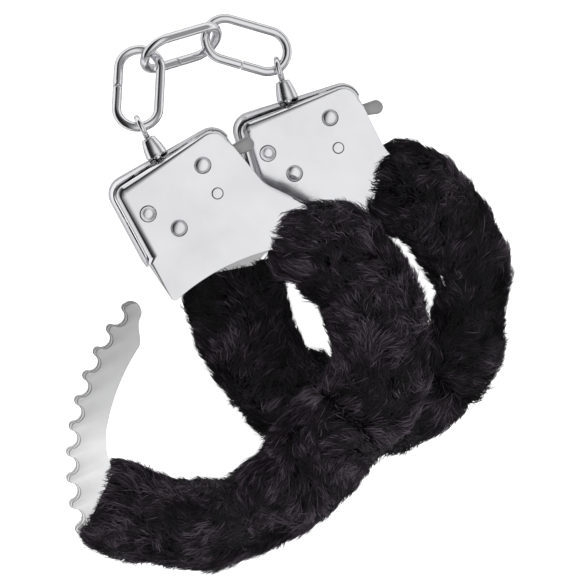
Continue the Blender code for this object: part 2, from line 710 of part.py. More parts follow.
def arm_fur(name):
    """The sleeve on the arm, from the hinge to a slanted hem below the teeth."""
    count = 15
    end = Vector(polar(*ARM_FUR_END))
    line = bezier(Vector(ARM_FUR_NEAR_HANDLE), Vector(ARM_FUR_FAR_HANDLE), end, 0.08, 1.0, count)
    heading = (Vector(line[-1]) - Vector(line[-2])).normalized()
    line += [tuple(end + heading * reach) for reach in (3.0, 6.0, 9.0, 12.0)]
    total = len(line)
    widths = []
    heights = []
    for i in range(total):
        near_hem = ease((total - 1 - i) / 6.0)
        widths.append(FUR_END_HALF_WIDTH + (FUR_HALF_WIDTH - FUR_END_HALF_WIDTH) * near_hem)
        heights.append(FUR_END_HALF_HEIGHT + (FUR_HALF_HEIGHT - FUR_END_HALF_HEIGHT) * near_hem)
    sleeve = sweep(name, line, widths, heights)
    inner = polar(40.0, ARM_FUR_END_INNER_DEG - 5.0)
    inner_hem = polar(56.0, ARM_FUR_END_INNER_DEG)
    outer_hem = polar(72.0, ARM_FUR_END_OUTER_DEG)
    outer = polar(92.0, ARM_FUR_END_OUTER_DEG + 9.0)
    beyond = [inner, inner_hem, outer_hem, outer, (-110, 60), (-60, 110), (10, 80)]
    cut(sleeve, prism("hem", list(reversed(beyond)), -FUR_CUTTER_REACH, FUR_CUTTER_REACH))
    channel = arm_line(0.0, 0.985, 16)
    channel += [polar(STRIP_MIDDLE_RADIUS, LAST_TOOTH_DEG - k) for k in (5, 15, 28)]
    room = [ARM_CHANNEL_HALF_WIDTH] * len(channel)
    cut(sleeve, sweep("channel", channel, room, [ARM_CHANNEL_HALF_HEIGHT] * len(channel), 12, 6.0))
    clear = FUR_HINGE_RADIUS + FUR_HINGE_GAP
    cut(sleeve, disc("hinge_room", (0, 0), clear, -FUR_CUTTER_REACH, FUR_CUTTER_REACH, 40))
    return sleeve


def build_cuff(tag, placement, closing, spin, lock_end, looks):
    steel = looks["steel"]
    dull = looks["dull"]
    swing = placement @ Matrix.Rotation(math.radians(-closing), 4, "Z")
    hinge = (0, 0, 0)
    finish(cheek_plate("p", 1, False), "front_plate_" + tag, placement, hinge, steel)
    finish(cheek_plate("p", -1, True), "back_plate_" + tag, placement, hinge, steel)
    strip = prism("arm", arm_outline(), -ARM_HALF_THICKNESS, ARM_HALF_THICKNESS, (), 0.45, 0.45)
    thick = ARM_BOSS_HALF_THICKNESS
    join(strip, disc("boss", (0, 0), 4.4, -thick, thick, 24))
    cut(strip, disc("bore", (0, 0), 2.3, -4, 4, 20))
    finish(strip, "arm_" + tag, swing, hinge, looks["arm"])
    finish(hinge_rivet("r"), "hinge_rivet_" + tag, placement, hinge, dull)
    rivets = (
        ("rivet_left_", RIVET_LEFT_AT, RIVET_HEAD_RADIUS, RIVET_SHANK_RADIUS, False),
        ("rivet_mid_", RIVET_MID_AT, RIVET_HEAD_RADIUS, RIVET_SHANK_RADIUS, True),
        ("rivet_right_", RIVET_RIGHT_AT, RIVET_HEAD_RADIUS, RIVET_SHANK_RADIUS, True),
        ("pawl_stop_", PAWL_PIN_AT, PIN_HEAD_RADIUS, PIN_SHANK_RADIUS, False),
    )
    for node, at, head, shank, domed in rivets:
        finish(rivet("r", at, head, shank, domed), node + tag, placement, (at[0], at[1], 0), steel)
    pivot = (RIVET_MID_AT[0], RIVET_MID_AT[1], 0)
    finish(pawl("w"), "pawl_" + tag, placement, pivot, dull)
    turn = (RIVET_RIGHT_AT[0], RIVET_RIGHT_AT[1], 0)
    finish(lever("l"), "release_lever_" + tag, placement, turn, looks["lever"])
    finish(pawl_spring("s"), "pawl_spring_" + tag, placement, hinge, dull)
    finish(key_post("k"), "key_post_" + tag, placement, hinge, dull)
    finish(swivel_collar("c"), "swivel_collar_" + tag, placement, (0, COLLAR_BASE_Y, 0), steel)
    finish(swivel_eye("e", spin), "swivel_eye_" + tag, placement, (0, COLLAR_BASE_Y, 0), steel)
    finish(bow_fur("f", lock_end), "bow_fur_" + tag, placement, hinge, looks["fur"])
    finish(arm_fur("f"), "arm_fur_" + tag, swing, hinge, looks["fur"])


def main():
    for obj in list(bpy.data.objects):
        bpy.data.objects.remove(obj, do_unlink=True)
    looks = {
        "steel": material("plated_steel", (0.79, 0.79, 0.81), 0.2, 1.0),
        "arm": material("arm_steel", (0.72, 0.72, 0.74), 0.24, 1.0),
        "dull": material("plain_steel", (0.46, 0.46, 0.47), 0.38, 1.0),
        "lever": material("cast_lever", (0.36, 0.36, 0.37), 0.55, 1.0),
        "fur": material("fur", (0.018, 0.017, 0.02), 0.85, 0.0),
        "chain": material("chain_wire", (0.7, 0.7, 0.72), 0.22, 1.0),
    }
    cuff_a = Matrix.Translation(Vector(CUFF_A_AT) * MM)
    cuff_a = cuff_a @ Matrix.Rotation(math.radians(CUFF_A_TURN), 4, "Z")
    cuff_b = cuff_a @ Matrix.Translation(Vector(CUFF_B_OFFSET) * MM)
    cuff_b = cuff_b @ Matrix.Rotation(math.radians(CUFF_B_TURN), 4, "Z")
    build_cuff("a", cuff_a, REST_CLOSING_A, 0.0, FUR_LOCK_END_A_DEG, looks)
    build_cuff("b", cuff_b, REST_CLOSING_B, EYE_SPIN_B, FUR_LOCK_END_B_DEG, looks)
    for number, pose in ((1, LINK_1), (2, LINK_2), (3, LINK_3)):
        finish(link("l", pose), "link_" + str(number), cuff_a, pose["centre"], looks["chain"])


main()
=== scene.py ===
import json
import math

import bmesh
import bpy
import numpy as np
from mathutils import Matrix, Vector
from mathutils.geometry import tessellate_polygon
from mathutils.kdtree import KDTree


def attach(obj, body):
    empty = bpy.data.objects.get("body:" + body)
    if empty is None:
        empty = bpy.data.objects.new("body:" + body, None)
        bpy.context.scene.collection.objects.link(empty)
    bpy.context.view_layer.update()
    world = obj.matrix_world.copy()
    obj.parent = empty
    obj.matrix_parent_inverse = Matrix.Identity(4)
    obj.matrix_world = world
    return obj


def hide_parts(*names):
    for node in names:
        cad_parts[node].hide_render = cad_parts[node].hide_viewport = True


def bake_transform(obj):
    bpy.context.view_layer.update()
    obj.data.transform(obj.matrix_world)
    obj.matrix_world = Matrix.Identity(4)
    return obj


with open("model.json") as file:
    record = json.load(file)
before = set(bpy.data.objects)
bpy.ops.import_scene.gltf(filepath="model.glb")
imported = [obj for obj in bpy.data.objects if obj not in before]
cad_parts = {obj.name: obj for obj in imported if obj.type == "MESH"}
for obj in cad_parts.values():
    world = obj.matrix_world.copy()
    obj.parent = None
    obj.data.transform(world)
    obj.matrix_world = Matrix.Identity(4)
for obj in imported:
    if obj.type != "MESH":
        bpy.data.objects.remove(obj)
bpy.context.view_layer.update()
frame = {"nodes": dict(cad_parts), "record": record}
JOINTS = {joint["name"]: joint for joint in frame["record"]["behaviour"]["joints"]}

MM = 0.001

# The cuff's own frame: hinge at the origin, +Y to the swivel, +X to the bow, Z across the cheek plates.
REST_CLOSING = {"a": 0.0, "b": 44.2}
EYE_SPIN = {"a": 0.0, "b": 7.7}

# Ratchet arm.
TEETH = 10
PITCH_DEG = 6.06
TIP_RADIUS = 70.15
SCOOP_CENTRE_RADIUS = 69.9
SCOOP_RADIUS = 2.6
CREST_RADIUS = 1.36
FIRST_TIP_DEG = 23.8
STRIP_INNER_RADIUS = 59.6
STRIP_INNER_RADIUS_AT_TIP = 64.2
STRIP_MIDDLE_RADIUS = 0.5 * (TIP_RADIUS + STRIP_INNER_RADIUS)
ARM_HALF_THICKNESS = 1.5
ARM_HALF_WIDTH = 4.7
ARM_SHOULDER_HALF_WIDTH = 2.6
ARM_NEAR_HANDLE = (-20.0, -9.0)
ARM_FAR_REACH = 12.0
ARM_BOSS_RADIUS = 5.6
# the land on the arm's upper face stands this much higher and is moved away from the tooth edge
ARM_STEP = 0.55
ARM_STEP_SHIFT = (0.5, -0.45)
# how much further out the strip lies at its tip and at the last tooth, and where its inner edge flares
STRIP_SKEW = (-0.5, 1.0)
STRIP_FLARE = 3.0
STRIP_FLARE_DEG = (54.0, 71.0)
STRIP_HEEL_DEG = 6.2
CAP_RADIUS = 2.95
CAP_CENTRE_RADIUS = 67.1
ARM_BORE_RADIUS = 2.3
# painted shade: the grey that the arm's colour is multiplied by along Y in metres, from its hem up to the
# tip, darkening the polished arm towards its tip
ARM_PAINTED_SHADE = ((-0.066, 0.95), (-0.04, 1.0), (-0.033, 0.8), (-0.016, 0.62), (-0.002, 0.5))
LAST_TOOTH_DEG = FIRST_TIP_DEG + (TEETH - 1) * PITCH_DEG

# Cheek plates.
LOCK_LEFT = 17.2
LOCK_TOP = 95.6
LOCK_TOP_RISE = 0.7
LOCK_SHOULDER_TOP = 19.6
LOCK_SHOULDER = (22.3, 74.0)
LOCK_SHOULDER_END = (31.0, 62.2)
WRIST_EDGE_RADIUS = 60.0
SLOT_TOP = 69.8
FACE_Z = 3.9
BOW_FACE_Z = 3.5
SHEET = 1.2
SEAM_HALF_GAP = 0.16
BOW_HALF_WIDTH = 5.5
BOW_SEMI = 33.0
BOW_SQUARENESS = 2.6
HINGE_BOSS_RADIUS = 6.2
PLAIN_EDGE = 0.25
# the bent rim from the seam up to the face, as (steepness it starts at, steepness it ends at, radius)
RIM_ARCS = ((90.0, 55.0, 0.6), (55.0, 38.0, 12.0), (38.0, 16.0, 1.5))
CROWN_REACH = 1.4
BACK_RIM_LIP = 0.4

# Pins, lever and swivel, as positions in the cuff frame.
RIVET_LEFT_AT = (-9.8, 83.2)
RIVET_MID_AT = (-4.2, 75.6)
RIVET_RIGHT_AT = (9.7, 87.8)
PAWL_PIN_AT = (9.6, 79.0)
KEY_POST_AT = (5.0, 78.2)
RIVET_HEAD_RADIUS = 2.25
PIN_HEAD_RADIUS = 1.55
HOLE_GAP = 0.12
DOME_TURN = 0.157
SHANK_BORE_RADIUS = 1.6
LEVER_NOSE_AT = (-1.0, 82.0)
LEVER_NECK_AT = (18.6, 86.7)
LEVER_TAB_AT = (23.2, 86.5)
LEVER_TAB_RADIUS = 1.95
COLLAR_BASE_Y = 95.8
COLLAR_TOP_Y = 101.0
EYE_RADIUS = 2.8
EYE_WIRE = 0.8
EYE_RISE = 0.9
EYE_Y = COLLAR_TOP_Y + EYE_RADIUS + EYE_RISE
LINK_END_RADIUS = 5.8
LINK_HALF_STRAIGHT = 6.15
LINK_WIRE = 1.35
LINK_SEAM = 0.34
# each link's centre, the direction it is long in and the one its flat side faces
LINKS = {
    "link_1": ((4.39, 113.58, -6.81), (0.468, 0.696, -0.544), (-0.213, -0.509, -0.834)),
    "link_2": ((20.13, 116.74, -16.07), (0.857, -0.236, -0.458), (0.128, -0.764, 0.633)),
    "link_3": ((36.62, 107.94, -22.08), (0.708, -0.703, -0.070), (0.229, 0.134, 0.964)),
}

# Fur sleeves: middle line and half width from the lock to the hinge, then from the hinge to the arm's hem.
BOW_SLEEVE = {
    "a": [
        (19.8, 59.8, 9.6), (22.6, 56.5, 11.2), (28.6, 51.4, 13.2), (33.4, 32.6, 14.2),
        (28.2, 15.6, 13.9), (17.0, 6.7, 14.0), (3.9, 2.4, 14.0),
    ],
    "b": [
        (17.9, 66.2, 10.4), (21.2, 63.8, 12.8), (26.2, 61.0, 15.0), (31.9, 52.1, 13.2),
        (36.5, 31.6, 10.8), (28.8, 14.6, 10.4), (19.1, 4.5, 11.0), (4.3, 2.1, 11.4),
    ],
}
ARM_SLEEVE = {
    "a": [
        (-9.0, -3.1, 14.5), (-19.9, -4.3, 12.2), (-31.2, -4.9, 12.2), (-44.2, 0.7, 12.4),
        (-53.7, 11.3, 13.2), (-59.4, 18.9, 12.9),
    ],
    "b": [
        (-8.4, -0.5, 13.0), (-18.8, -3.6, 13.0), (-30.2, -5.4, 12.5), (-42.7, 1.5, 13.1),
        (-52.3, 12.1, 15.0), (-58.0, 19.2, 15.0),
    ],
}
PILE = 1.3
SKIN_HALF_HEIGHT = 8.9
SKIN_SQUARENESS = 2.25
LUMP_HEIGHT = 0.85
DENT_HEIGHT = 0.42
LOCK_HEM_REACH = 7.0
ARM_HEM_REACH = 6.0
LOCK_HEM_SHARE = 0.78
ARM_HEM_SHARE = 0.9
LOCK_FRINGE = 3.4
ARM_FRINGE = 2.0
SKIN_STATIONS = 230
SKIN_SIDES = 96
STRANDS_PER_MM2 = 4.2
STRANDS_PER_PIECE = 11500
# each sleeve's base strand tone: the plush's own dark tone, with a's set lighter and b's darker as painted
# light and shade
FUR_TONE_AND_PAINTED_LIGHT = {"a": 0.56, "b": 0.42}
FUR_SEED = {"a": 11, "b": 47}
LOCK_AREA = 3.4
LOCK_LENGTH = (3.4, 6.4)
LOCK_RISE = (0.9, 2.1)
LOCK_PULL = (0.25, 0.7)
LOCK_TURN_SPREAD = 0.5
STRAND_TURN_SPREAD = 0.55
STRAND_WIDTH = (0.085, 0.15)
STRAND_TAPER = (1.0, 0.92, 0.68)
LOOSE_SHARE = 0.08
# the strands point to the lock before this share of the sleeve and to the arm's hem after it
PARTING = 0.45

# Fur colours: the backing by its noise, the strands by their tone.
BACKING_TONES = [(0.35, (0.002, 0.0015, 0.002)), (0.7, (0.008, 0.0065, 0.009))]
STRAND_TONES = [
    (0.0, (0.002, 0.0015, 0.002)), (0.45, (0.013, 0.01, 0.0145)),
    (0.75, (0.058, 0.046, 0.062)), (1.0, (0.26, 0.22, 0.27)),
]

# Studio, in metres. The room's grey goes by height and, above the floor's line, by its lean to one side.
FLOOR_Z = -0.0022
FLOOR_HALF = 1.6
FLOOR_CELLS = 24
FLOOR_CURL_START = 1.2
FLOOR_CURL = 0.6
ROOM_MIRRORED = 1.05
ROOM_GLOW = 0.5
DARK_SIDE = (-0.97, 0.24, 0.0)
ROOM_BY_HEIGHT = [(-1, 0.85), (0.2, 0.85), (0.32, 0.3), (0.6, 0.35), (0.84, 0.9), (1, 1)]
ROOM_ACROSS = [(-1, 0.95), (-0.1, 0.9), (0.06, 0.74), (0.3, 0.26), (0.5, 0.05), (0.85, 0.05)]
ROOM_RAISED = [(-1, 0.0), (0.2, 0.0), (0.32, 1.0), (1, 1.0)]
LAMPS = (("key", (0.55, 0.35, 0.75), 0.5, 5.0), ("fill", (-0.6, -0.35, 0.7), 0.6, 2.5))
LAMP_TARGET = (0, 0, 0.02)
CAMERA_TARGET = (-0.00038, -0.00096, 0.02)
CAMERA_TOWARD = (-0.0994, 0.1565, 1.0)
CAMERA_DISTANCE = 1.2
VIEW_WIDTH = 0.1636
SENSOR_WIDTH = 36.0


def polar(radius, degrees):
    """A point this far from the hinge, at this angle from +Y towards -X."""
    turn = math.radians(degrees)
    return (-radius * math.sin(turn), radius * math.cos(turn))


def arc(centre, radius, start, end, count):
    """Points on a circle, with angles in degrees from +X."""
    turns = [math.radians(start + (end - start) * i / (count - 1)) for i in range(count)]
    return [(centre[0] + radius * math.cos(t), centre[1] + radius * math.sin(t)) for t in turns]


def ease(value):
    value = max(0.0, min(1.0, value))
    return value * value * (3 - 2 * value)


def rounded(corners, steps=9):
    """A closed outline through corners (x, y, radius, rim), cut back to arcs that keep their rim weight."""
    out = []
    count = len(corners)
    for i in range(count):
        x, y, radius, rim = corners[i]
        here = Vector((x, y))
        before = Vector(corners[i - 1][:2]) - here
        after = Vector(corners[(i + 1) % count][:2]) - here
        if radius <= 0 or before.length < 1e-6 or after.length < 1e-6:
            out.append((x, y, rim))
            continue
        before.normalize()
        after.normalize()
        half = 0.5 * math.acos(max(-1.0, min(1.0, before.dot(after))))
        if half > math.radians(88.5):
            out.append((x, y, rim))
            continue
        middle = (before + after).normalized()
        centre = here + middle * (radius / math.sin(half))
        start = here + before * (radius / math.tan(half)) - centre
        end = here + after * (radius / math.tan(half)) - centre
        turn = math.atan2(start.x * end.y - start.y * end.x, start.dot(end))
        for k in range(steps + 1):
            p = Matrix.Rotation(turn * k / steps, 2) @ start
            out.append((centre.x + p.x, centre.y + p.y, rim))
    return out


def offset_path(points, distance):
    """An open path moved to its left by the distance, which is one number or one for each point."""
    out = []
    last = len(points) - 1
    for i, point in enumerate(points):
        ahead = Vector(points[min(i + 1, last)][:2]) - Vector(points[max(i - 1, 0)][:2])
        ahead.normalize()
        d = distance[i] if isinstance(distance, list) else distance
        out.append((point[0] - ahead.y * d, point[1] + ahead.x * d))
    return out


def inset_loop(loop, distances):
    """A closed loop moved towards its left side, by one distance for each point."""
    out = []
    count = len(loop)
    for i in range(count):
        a = Vector(loop[i][:2]) - Vector(loop[i - 1][:2])
        b = Vector(loop[(i + 1) % count][:2]) - Vector(loop[i][:2])
        a.normalize()
        b.normalize()
        left = Vector((-a.y - b.y, a.x + b.x))
        if left.length < 1e-9:
            left = Vector((-a.y, a.x))
        left.normalize()
        cosine = max(0.6, left.dot(Vector((-a.y, a.x))))
        reach = distances[i] / cosine
        out.append((loop[i][0] + left.x * reach, loop[i][1] + left.y * reach))
    return out


def add_object(name, data):
    obj = bpy.data.objects.new(name, data)
    bpy.context.scene.collection.objects.link(obj)
    return obj


def object_from(points, faces):
    """A closed mesh from points in millimetres, with its faces turned outwards."""
    mesh = bpy.data.meshes.new("shape")
    mesh.from_pydata([Vector(p) * MM for p in points], [], faces)
    work = bmesh.new()
    work.from_mesh(mesh)
    bmesh.ops.remove_doubles(work, verts=work.verts, dist=1e-7)
    bmesh.ops.recalc_face_normals(work, faces=work.faces)
    if work.calc_volume(signed=True) < 0:
        bmesh.ops.reverse_faces(work, faces=work.faces)
    work.to_mesh(mesh)
    work.free()
    return add_object("shape", mesh)


def stacked(loops_at):
    """A solid from levels of nested loops: each level is (z, [outer loop, hole loops...])."""
    points = []
    rings = []
    for z, loops in loops_at:
        row = []
        for loop in loops:
            row.append(range(len(points), len(points) + len(loop)))
            points.extend((p[0], p[1], z) for p in loop)
        rings.append(row)
    faces = []
    for lower, upper in zip(rings, rings[1:]):
        for a, b in zip(lower, upper):
            n = len(a)
            for i in range(n):
                faces.append((a[i], a[(i + 1) % n], b[(i + 1) % n], b[i]))
    for row, flip in ((rings[0], True), (rings[-1], False)):
        flat = [[Vector((points[i][0], points[i][1], 0)) for i in ring] for ring in row]
        index = [i for ring in row for i in ring]
        for triangle in tessellate_polygon(flat):
            corners = [index[i] for i in triangle]
            faces.append(tuple(reversed(corners)) if flip else tuple(corners))
    return object_from(points, faces)


def prism(outer, low, high, round_low=0.0, round_high=0.0, steps=4):
    """A flat plate from a counter-clockwise outline, with its rims rounded."""
    levels = []
    quarter = [0.5 * math.pi * k / steps for k in range(steps + 1)]
    if round_low > 0:
        levels += [(low + round_low * (1 - math.cos(t)), round_low * (1 - math.sin(t))) for t in quarter]
    else:
        levels.append((low, 0.0))
    if round_high > 0:
        levels += [(high - round_high * (1 - math.sin(t)), round_high * (1 - math.cos(t))) for t in quarter]
    else:
        levels.append((high, 0.0))
    return stacked([(z, [inset_loop(outer, [inset] * len(outer))]) for z, inset in levels])


def loft(rings, closed=False):
    """Skin over rings of points of equal count, capped at both ends unless it closes on itself."""
    points = [p for ring in rings for p in ring]
    n = len(rings[0])
    faces = []
    count = len(rings)
    for r in range(count if closed else count - 1):
        a = r * n
        b = ((r + 1) % count) * n
        for i in range(n):
            faces.append((a + i, a + (i + 1) % n, b + (i + 1) % n, b + i))
    if not closed:
        faces.append(tuple(reversed(range(n))))
        faces.append(tuple(range((count - 1) * n, count * n)))
    return object_from(points, faces)


def lathe(profile, segments=48, axis="Z"):
    """Turns a profile of (radius, height) about the axis through the origin; both ends lie on the axis."""
    rings = []
    for radius, height in profile:
        ring = arc((0, 0), max(radius, 1e-3), 0, 360 - 360 / segments, segments)
        rings.append([(x, y, height) if axis == "Z" else (y, height, x) for x, y in ring])
    return loft(rings)


def tube(path, radius, segments, closed=False, normal=(0, 0, 1)):
    """A round wire along a path that lies in the plane with this normal."""
    rings = []
    count = len(path)
    normal = Vector(normal).normalized()
    for i in range(count):
        if closed:
            ahead = Vector(path[(i + 1) % count]) - Vector(path[i - 1])
        else:
            ahead = Vector(path[min(i + 1, count - 1)]) - Vector(path[max(i - 1, 0)])
        side = ahead.normalized().cross(normal)
        r = radius[i] if isinstance(radius, list) else radius
        turns = [2 * math.pi * k / segments for k in range(segments)]
        rings.append([Vector(path[i]) + r * (math.cos(t) * side + math.sin(t) * normal) for t in turns])
    return loft(rings, closed)


def combine(obj, other, operation):
    """Applies a Boolean to the mesh and removes the helper."""
    modifier = obj.modifiers.new("shape", "BOOLEAN")
    modifier.operation = operation
    modifier.solver = "EXACT"
    modifier.object = other
    bpy.context.view_layer.update()
    graph = bpy.context.evaluated_depsgraph_get()
    result = bpy.data.meshes.new_from_object(obj.evaluated_get(graph))
    obj.modifiers.clear()
    obj.data = result
    bpy.data.objects.remove(other, do_unlink=True)
    return obj


def cut(obj, other):
    return combine(obj, other, "DIFFERENCE")


def join(obj, other):
    return combine(obj, other, "UNION")


def disc(at, radius, low, high, rim=0.0):
    ring = arc(at, radius, 0, 352.5, 48)
    return prism(ring, low, high, rim, rim)


def bar(start, end, start_half, end_half, low, high, rim=0.0):
    """A tapered strip between two points with round ends."""
    a = Vector(start)
    b = Vector(end)
    heading = math.degrees(math.atan2(b.y - a.y, b.x - a.x))
    outline = arc(end, end_half, heading - 88, heading + 88, 17)
    outline += arc(start, start_half, heading + 92, heading + 268, 17)
    return prism(outline, low, high, rim, rim)


# Materials


class Nodes:
    """The node tree of a material or world, with short calls for the nodes that the looks share."""

    def __init__(self, owner, shader="Principled BSDF"):
        owner.use_nodes = True
        self.owner = owner
        self.tree = owner.node_tree
        self.shader = self.tree.nodes[shader]

    def add(self, kind, **settings):
        node = self.tree.nodes.new(kind)
        for key, value in settings.items():
            setattr(node, key, value)
        return node

    def link(self, source, target):
        self.tree.links.new(source, target)

    def noise(self, scale, detail=3.0, stretch=None, rough=0.5):
        """Noise in the object's own metres; stretch scales its three axes first."""
        place = self.add("ShaderNodeTexCoord").outputs["Object"]
        if stretch:
            mapping = self.add("ShaderNodeMapping")
            mapping.inputs["Scale"].default_value = stretch
            self.link(place, mapping.inputs["Vector"])
            place = mapping.outputs["Vector"]
        texture = self.add("ShaderNodeTexNoise")
        texture.inputs["Scale"].default_value = scale
        texture.inputs["Detail"].default_value = detail
        texture.inputs["Roughness"].default_value = rough
        self.link(place, texture.inputs["Vector"])
        return texture.outputs["Fac"]

    def ramp(self, factor, stops):
        """A colour ramp with stops given as (position, grey or colour)."""
        node = self.add("ShaderNodeValToRGB")
        elements = node.color_ramp.elements
        while len(elements) < len(stops):
            elements.new(0.5)
        for element, (position, colour) in zip(elements, stops):
            element.position = position
            element.color = (*colour, 1.0) if isinstance(colour, tuple) else (colour, colour, colour, 1.0)
        self.link(factor, node.inputs["Fac"])
        return node.outputs["Color"]

    def mix(self, kind, factor, a, b):
        node = self.add("ShaderNodeMix", data_type="RGBA", blend_type=kind)
        if isinstance(factor, float):
            node.inputs["Factor"].default_value = factor
        else:
            self.link(factor, node.inputs["Factor"])
        self.link(a, node.inputs["A"])
        self.link(b, node.inputs["B"])
        return node.outputs["Result"]

    def bump(self, height, strength, distance, below=None):
        node = self.add("ShaderNodeBump")
        node.inputs["Strength"].default_value = strength
        node.inputs["Distance"].default_value = distance
        self.link(height, node.inputs["Height"])
        if below:
            self.link(below, node.inputs["Normal"])
        return node.outputs["Normal"]


def metal(name, light, dark, smooth, rough, wave=0.06, scratch=0.05, painted_shade=()):
    """Plated or bare metal: tarnish in the colour, finer smears and hairlines in roughness and bump, and an
    optional painted shade along Y.
    """
    m = Nodes(bpy.data.materials.new(name))
    colour = m.ramp(m.noise(55.0, 4.0), [(0.32, dark), (0.62, light)])
    # painted shade: the colour is multiplied by a grey that changes along the object's Y
    if painted_shade:
        split = m.add("ShaderNodeSeparateXYZ")
        m.link(m.add("ShaderNodeTexCoord").outputs["Object"], split.inputs["Vector"])
        place = m.add("ShaderNodeMapRange")
        low, high = painted_shade[0][0], painted_shade[-1][0]
        place.inputs["From Min"].default_value = low
        place.inputs["From Max"].default_value = high
        m.link(split.outputs["Y"], place.inputs["Value"])
        stops = [((at - low) / (high - low), grey) for at, grey in painted_shade]
        colour = m.mix("MULTIPLY", 1.0, colour, m.ramp(place.outputs["Result"], stops))
    m.link(colour, m.shader.inputs["Base Color"])
    smear = m.noise(320.0, 5.0, (1.0, 1.0, 1.0), 0.65)
    m.link(m.ramp(smear, [(0.3, smooth), (0.75, rough)]), m.shader.inputs["Roughness"])
    m.shader.inputs["Metallic"].default_value = 1.0
    sheet = m.bump(m.noise(42.0, 1.0), wave, 0.002)
    hairlines = m.noise(900.0, 2.0, (0.12, 1.0, 1.0))
    m.link(m.bump(hairlines, scratch, 0.00004, sheet), m.shader.inputs["Normal"])
    return m.owner


def fur_skin():
    """The pile's dark backing between the strands."""
    m = Nodes(bpy.data.materials.new("fur_backing"))
    locks = m.noise(700.0, 5.0)
    m.link(m.ramp(locks, BACKING_TONES), m.shader.inputs["Base Color"])
    m.shader.inputs["Roughness"].default_value = 0.9
    m.shader.inputs["Specular IOR Level"].default_value = 0.05
    m.link(m.bump(locks, 0.9, 0.0008), m.shader.inputs["Normal"])
    return m.owner


def fur_strand():
    """One strand: painted shade darkens it at its root and a painted highlight makes its tip paler; each
    lock has a tone of its own.
    """
    m = Nodes(bpy.data.materials.new("fur_strands"))
    place = m.add("ShaderNodeUVMap", uv_map="OFBake")
    split = m.add("ShaderNodeSeparateXYZ")
    m.link(place.outputs["UV"], split.inputs["Vector"])
    tone = m.ramp(split.outputs["X"], STRAND_TONES)
    # painted shade at the root and painted highlight at the tip, by the way along the strand
    length = m.ramp(split.outputs["Y"], [(0.0, 0.08), (0.45, 0.45), (1.0, 1.0)])
    m.link(m.mix("MULTIPLY", 1.0, tone, length), m.shader.inputs["Base Color"])
    m.shader.inputs["Roughness"].default_value = 0.55
    m.shader.inputs["Specular IOR Level"].default_value = 0.1
    return m.owner


# Metal shapes


def bow_line(start, end, count):
    """The bow's centre line between two angles, from -90 degrees at the hinge up to the lock."""
    power = 2.0 / BOW_SQUARENESS
    out = []
    for c, u in arc((0, 0), 1.0, start, end, count):
        out.append((BOW_SEMI * abs(c) ** power, BOW_SEMI + BOW_SEMI * math.copysign(abs(u) ** power, u)))
    return out


def arm_line(start, end, count):
    """The arm's centre line from the hinge to the toothed strip, in the arm's open position."""
    last = Vector(polar(STRIP_MIDDLE_RADIUS, LAST_TOOTH_DEG))
    along = Vector(polar(1.0, LAST_TOOTH_DEG + 90.0))
    near = Vector(ARM_NEAR_HANDLE)
    far = last + along * ARM_FAR_REACH
    out = []
    for i in range(count):
        t = start + (end - start) * i / (count - 1)
        u = 1 - t
        p = 3 * u * u * t * near + 3 * u * t * t * far + t ** 3 * last
        out.append((p.x, p.y))
    return out


def tooth_radius(distance):
    """The ratchet's profile at this distance along the arc from the middle of a valley."""
    half = math.radians(PITCH_DEG) * TIP_RADIUS / 2
    s = abs(distance)
    if s < half - CREST_RADIUS + 0.01:
        reach = max(0.0, SCOOP_RADIUS ** 2 - s * s)
        return SCOOP_CENTRE_RADIUS - math.sqrt(reach)
    rise = max(0.0, CREST_RADIUS ** 2 - (half - s) ** 2)
    return TIP_RADIUS - CREST_RADIUS + math.sqrt(rise)


def strip_point(radius, angle):
    """A point of the toothed strip, whose arc lies further out towards the sleeve than at the tip."""
    way = (angle - FIRST_TIP_DEG) / (LAST_TOOTH_DEG - FIRST_TIP_DEG)
    return polar(radius + STRIP_SKEW[0] + (STRIP_SKEW[1] - STRIP_SKEW[0]) * way, angle)


def arm_outline():
    half = math.radians(PITCH_DEG) * TIP_RADIUS / 2

    def tooth(share, valley):
        return strip_point(tooth_radius(share * half), valley + 0.5 * share * PITCH_DEG)

    stations = [-1.0, -0.93, -0.86, -0.79, -0.72, -0.66, -0.6, -0.55, -0.48, -0.4, -0.3, -0.2, -0.1, 0.0]
    stations += [-s for s in reversed(stations[1:-1])]
    teeth = []
    for k in range(TEETH - 1):
        teeth += [tooth(share, FIRST_TIP_DEG + (k + 0.5) * PITCH_DEG) for share in stations]
    teeth.append(strip_point(TIP_RADIUS, LAST_TOOTH_DEG))
    teeth += [tooth(-share, LAST_TOOTH_DEG + 0.5 * PITCH_DEG) for share in (0.9, 0.8, 0.7, 0.6)]
    ring = arm_line(0.07, 0.965, 30)
    narrow = ARM_HALF_WIDTH - ARM_SHOULDER_HALF_WIDTH
    widths = [ARM_HALF_WIDTH - narrow * ease((i - 12) / 12.0) for i in range(30)]
    outer = list(reversed(offset_path(ring, widths)))
    boss = arc((0, 0), ARM_BOSS_RADIUS, -80, 80, 17)
    inner = offset_path(ring, -ARM_HALF_WIDTH)
    strip = []
    inner_end = FIRST_TIP_DEG + STRIP_HEEL_DEG
    for i in range(25):
        angle = LAST_TOOTH_DEG - 2.0 + (inner_end - LAST_TOOTH_DEG + 2.0) * i / 24
        flare = STRIP_FLARE * ease((angle - STRIP_FLARE_DEG[0]) / (STRIP_FLARE_DEG[1] - STRIP_FLARE_DEG[0]))
        strip.append(strip_point(STRIP_INNER_RADIUS - flare, angle))
    for k in range(1, 10):
        share = k / 10
        radius = STRIP_INNER_RADIUS + (STRIP_INNER_RADIUS_AT_TIP - STRIP_INNER_RADIUS) * ease(share)
        strip.append(strip_point(radius, inner_end + (FIRST_TIP_DEG - 0.6 - inner_end) * share))
    heel = strip_point(CAP_CENTRE_RADIUS, FIRST_TIP_DEG + 0.1)
    cap = arc(heel, CAP_RADIUS, FIRST_TIP_DEG - 82, FIRST_TIP_DEG + 59, 16)
    return teeth + outer + boss + inner + strip + cap


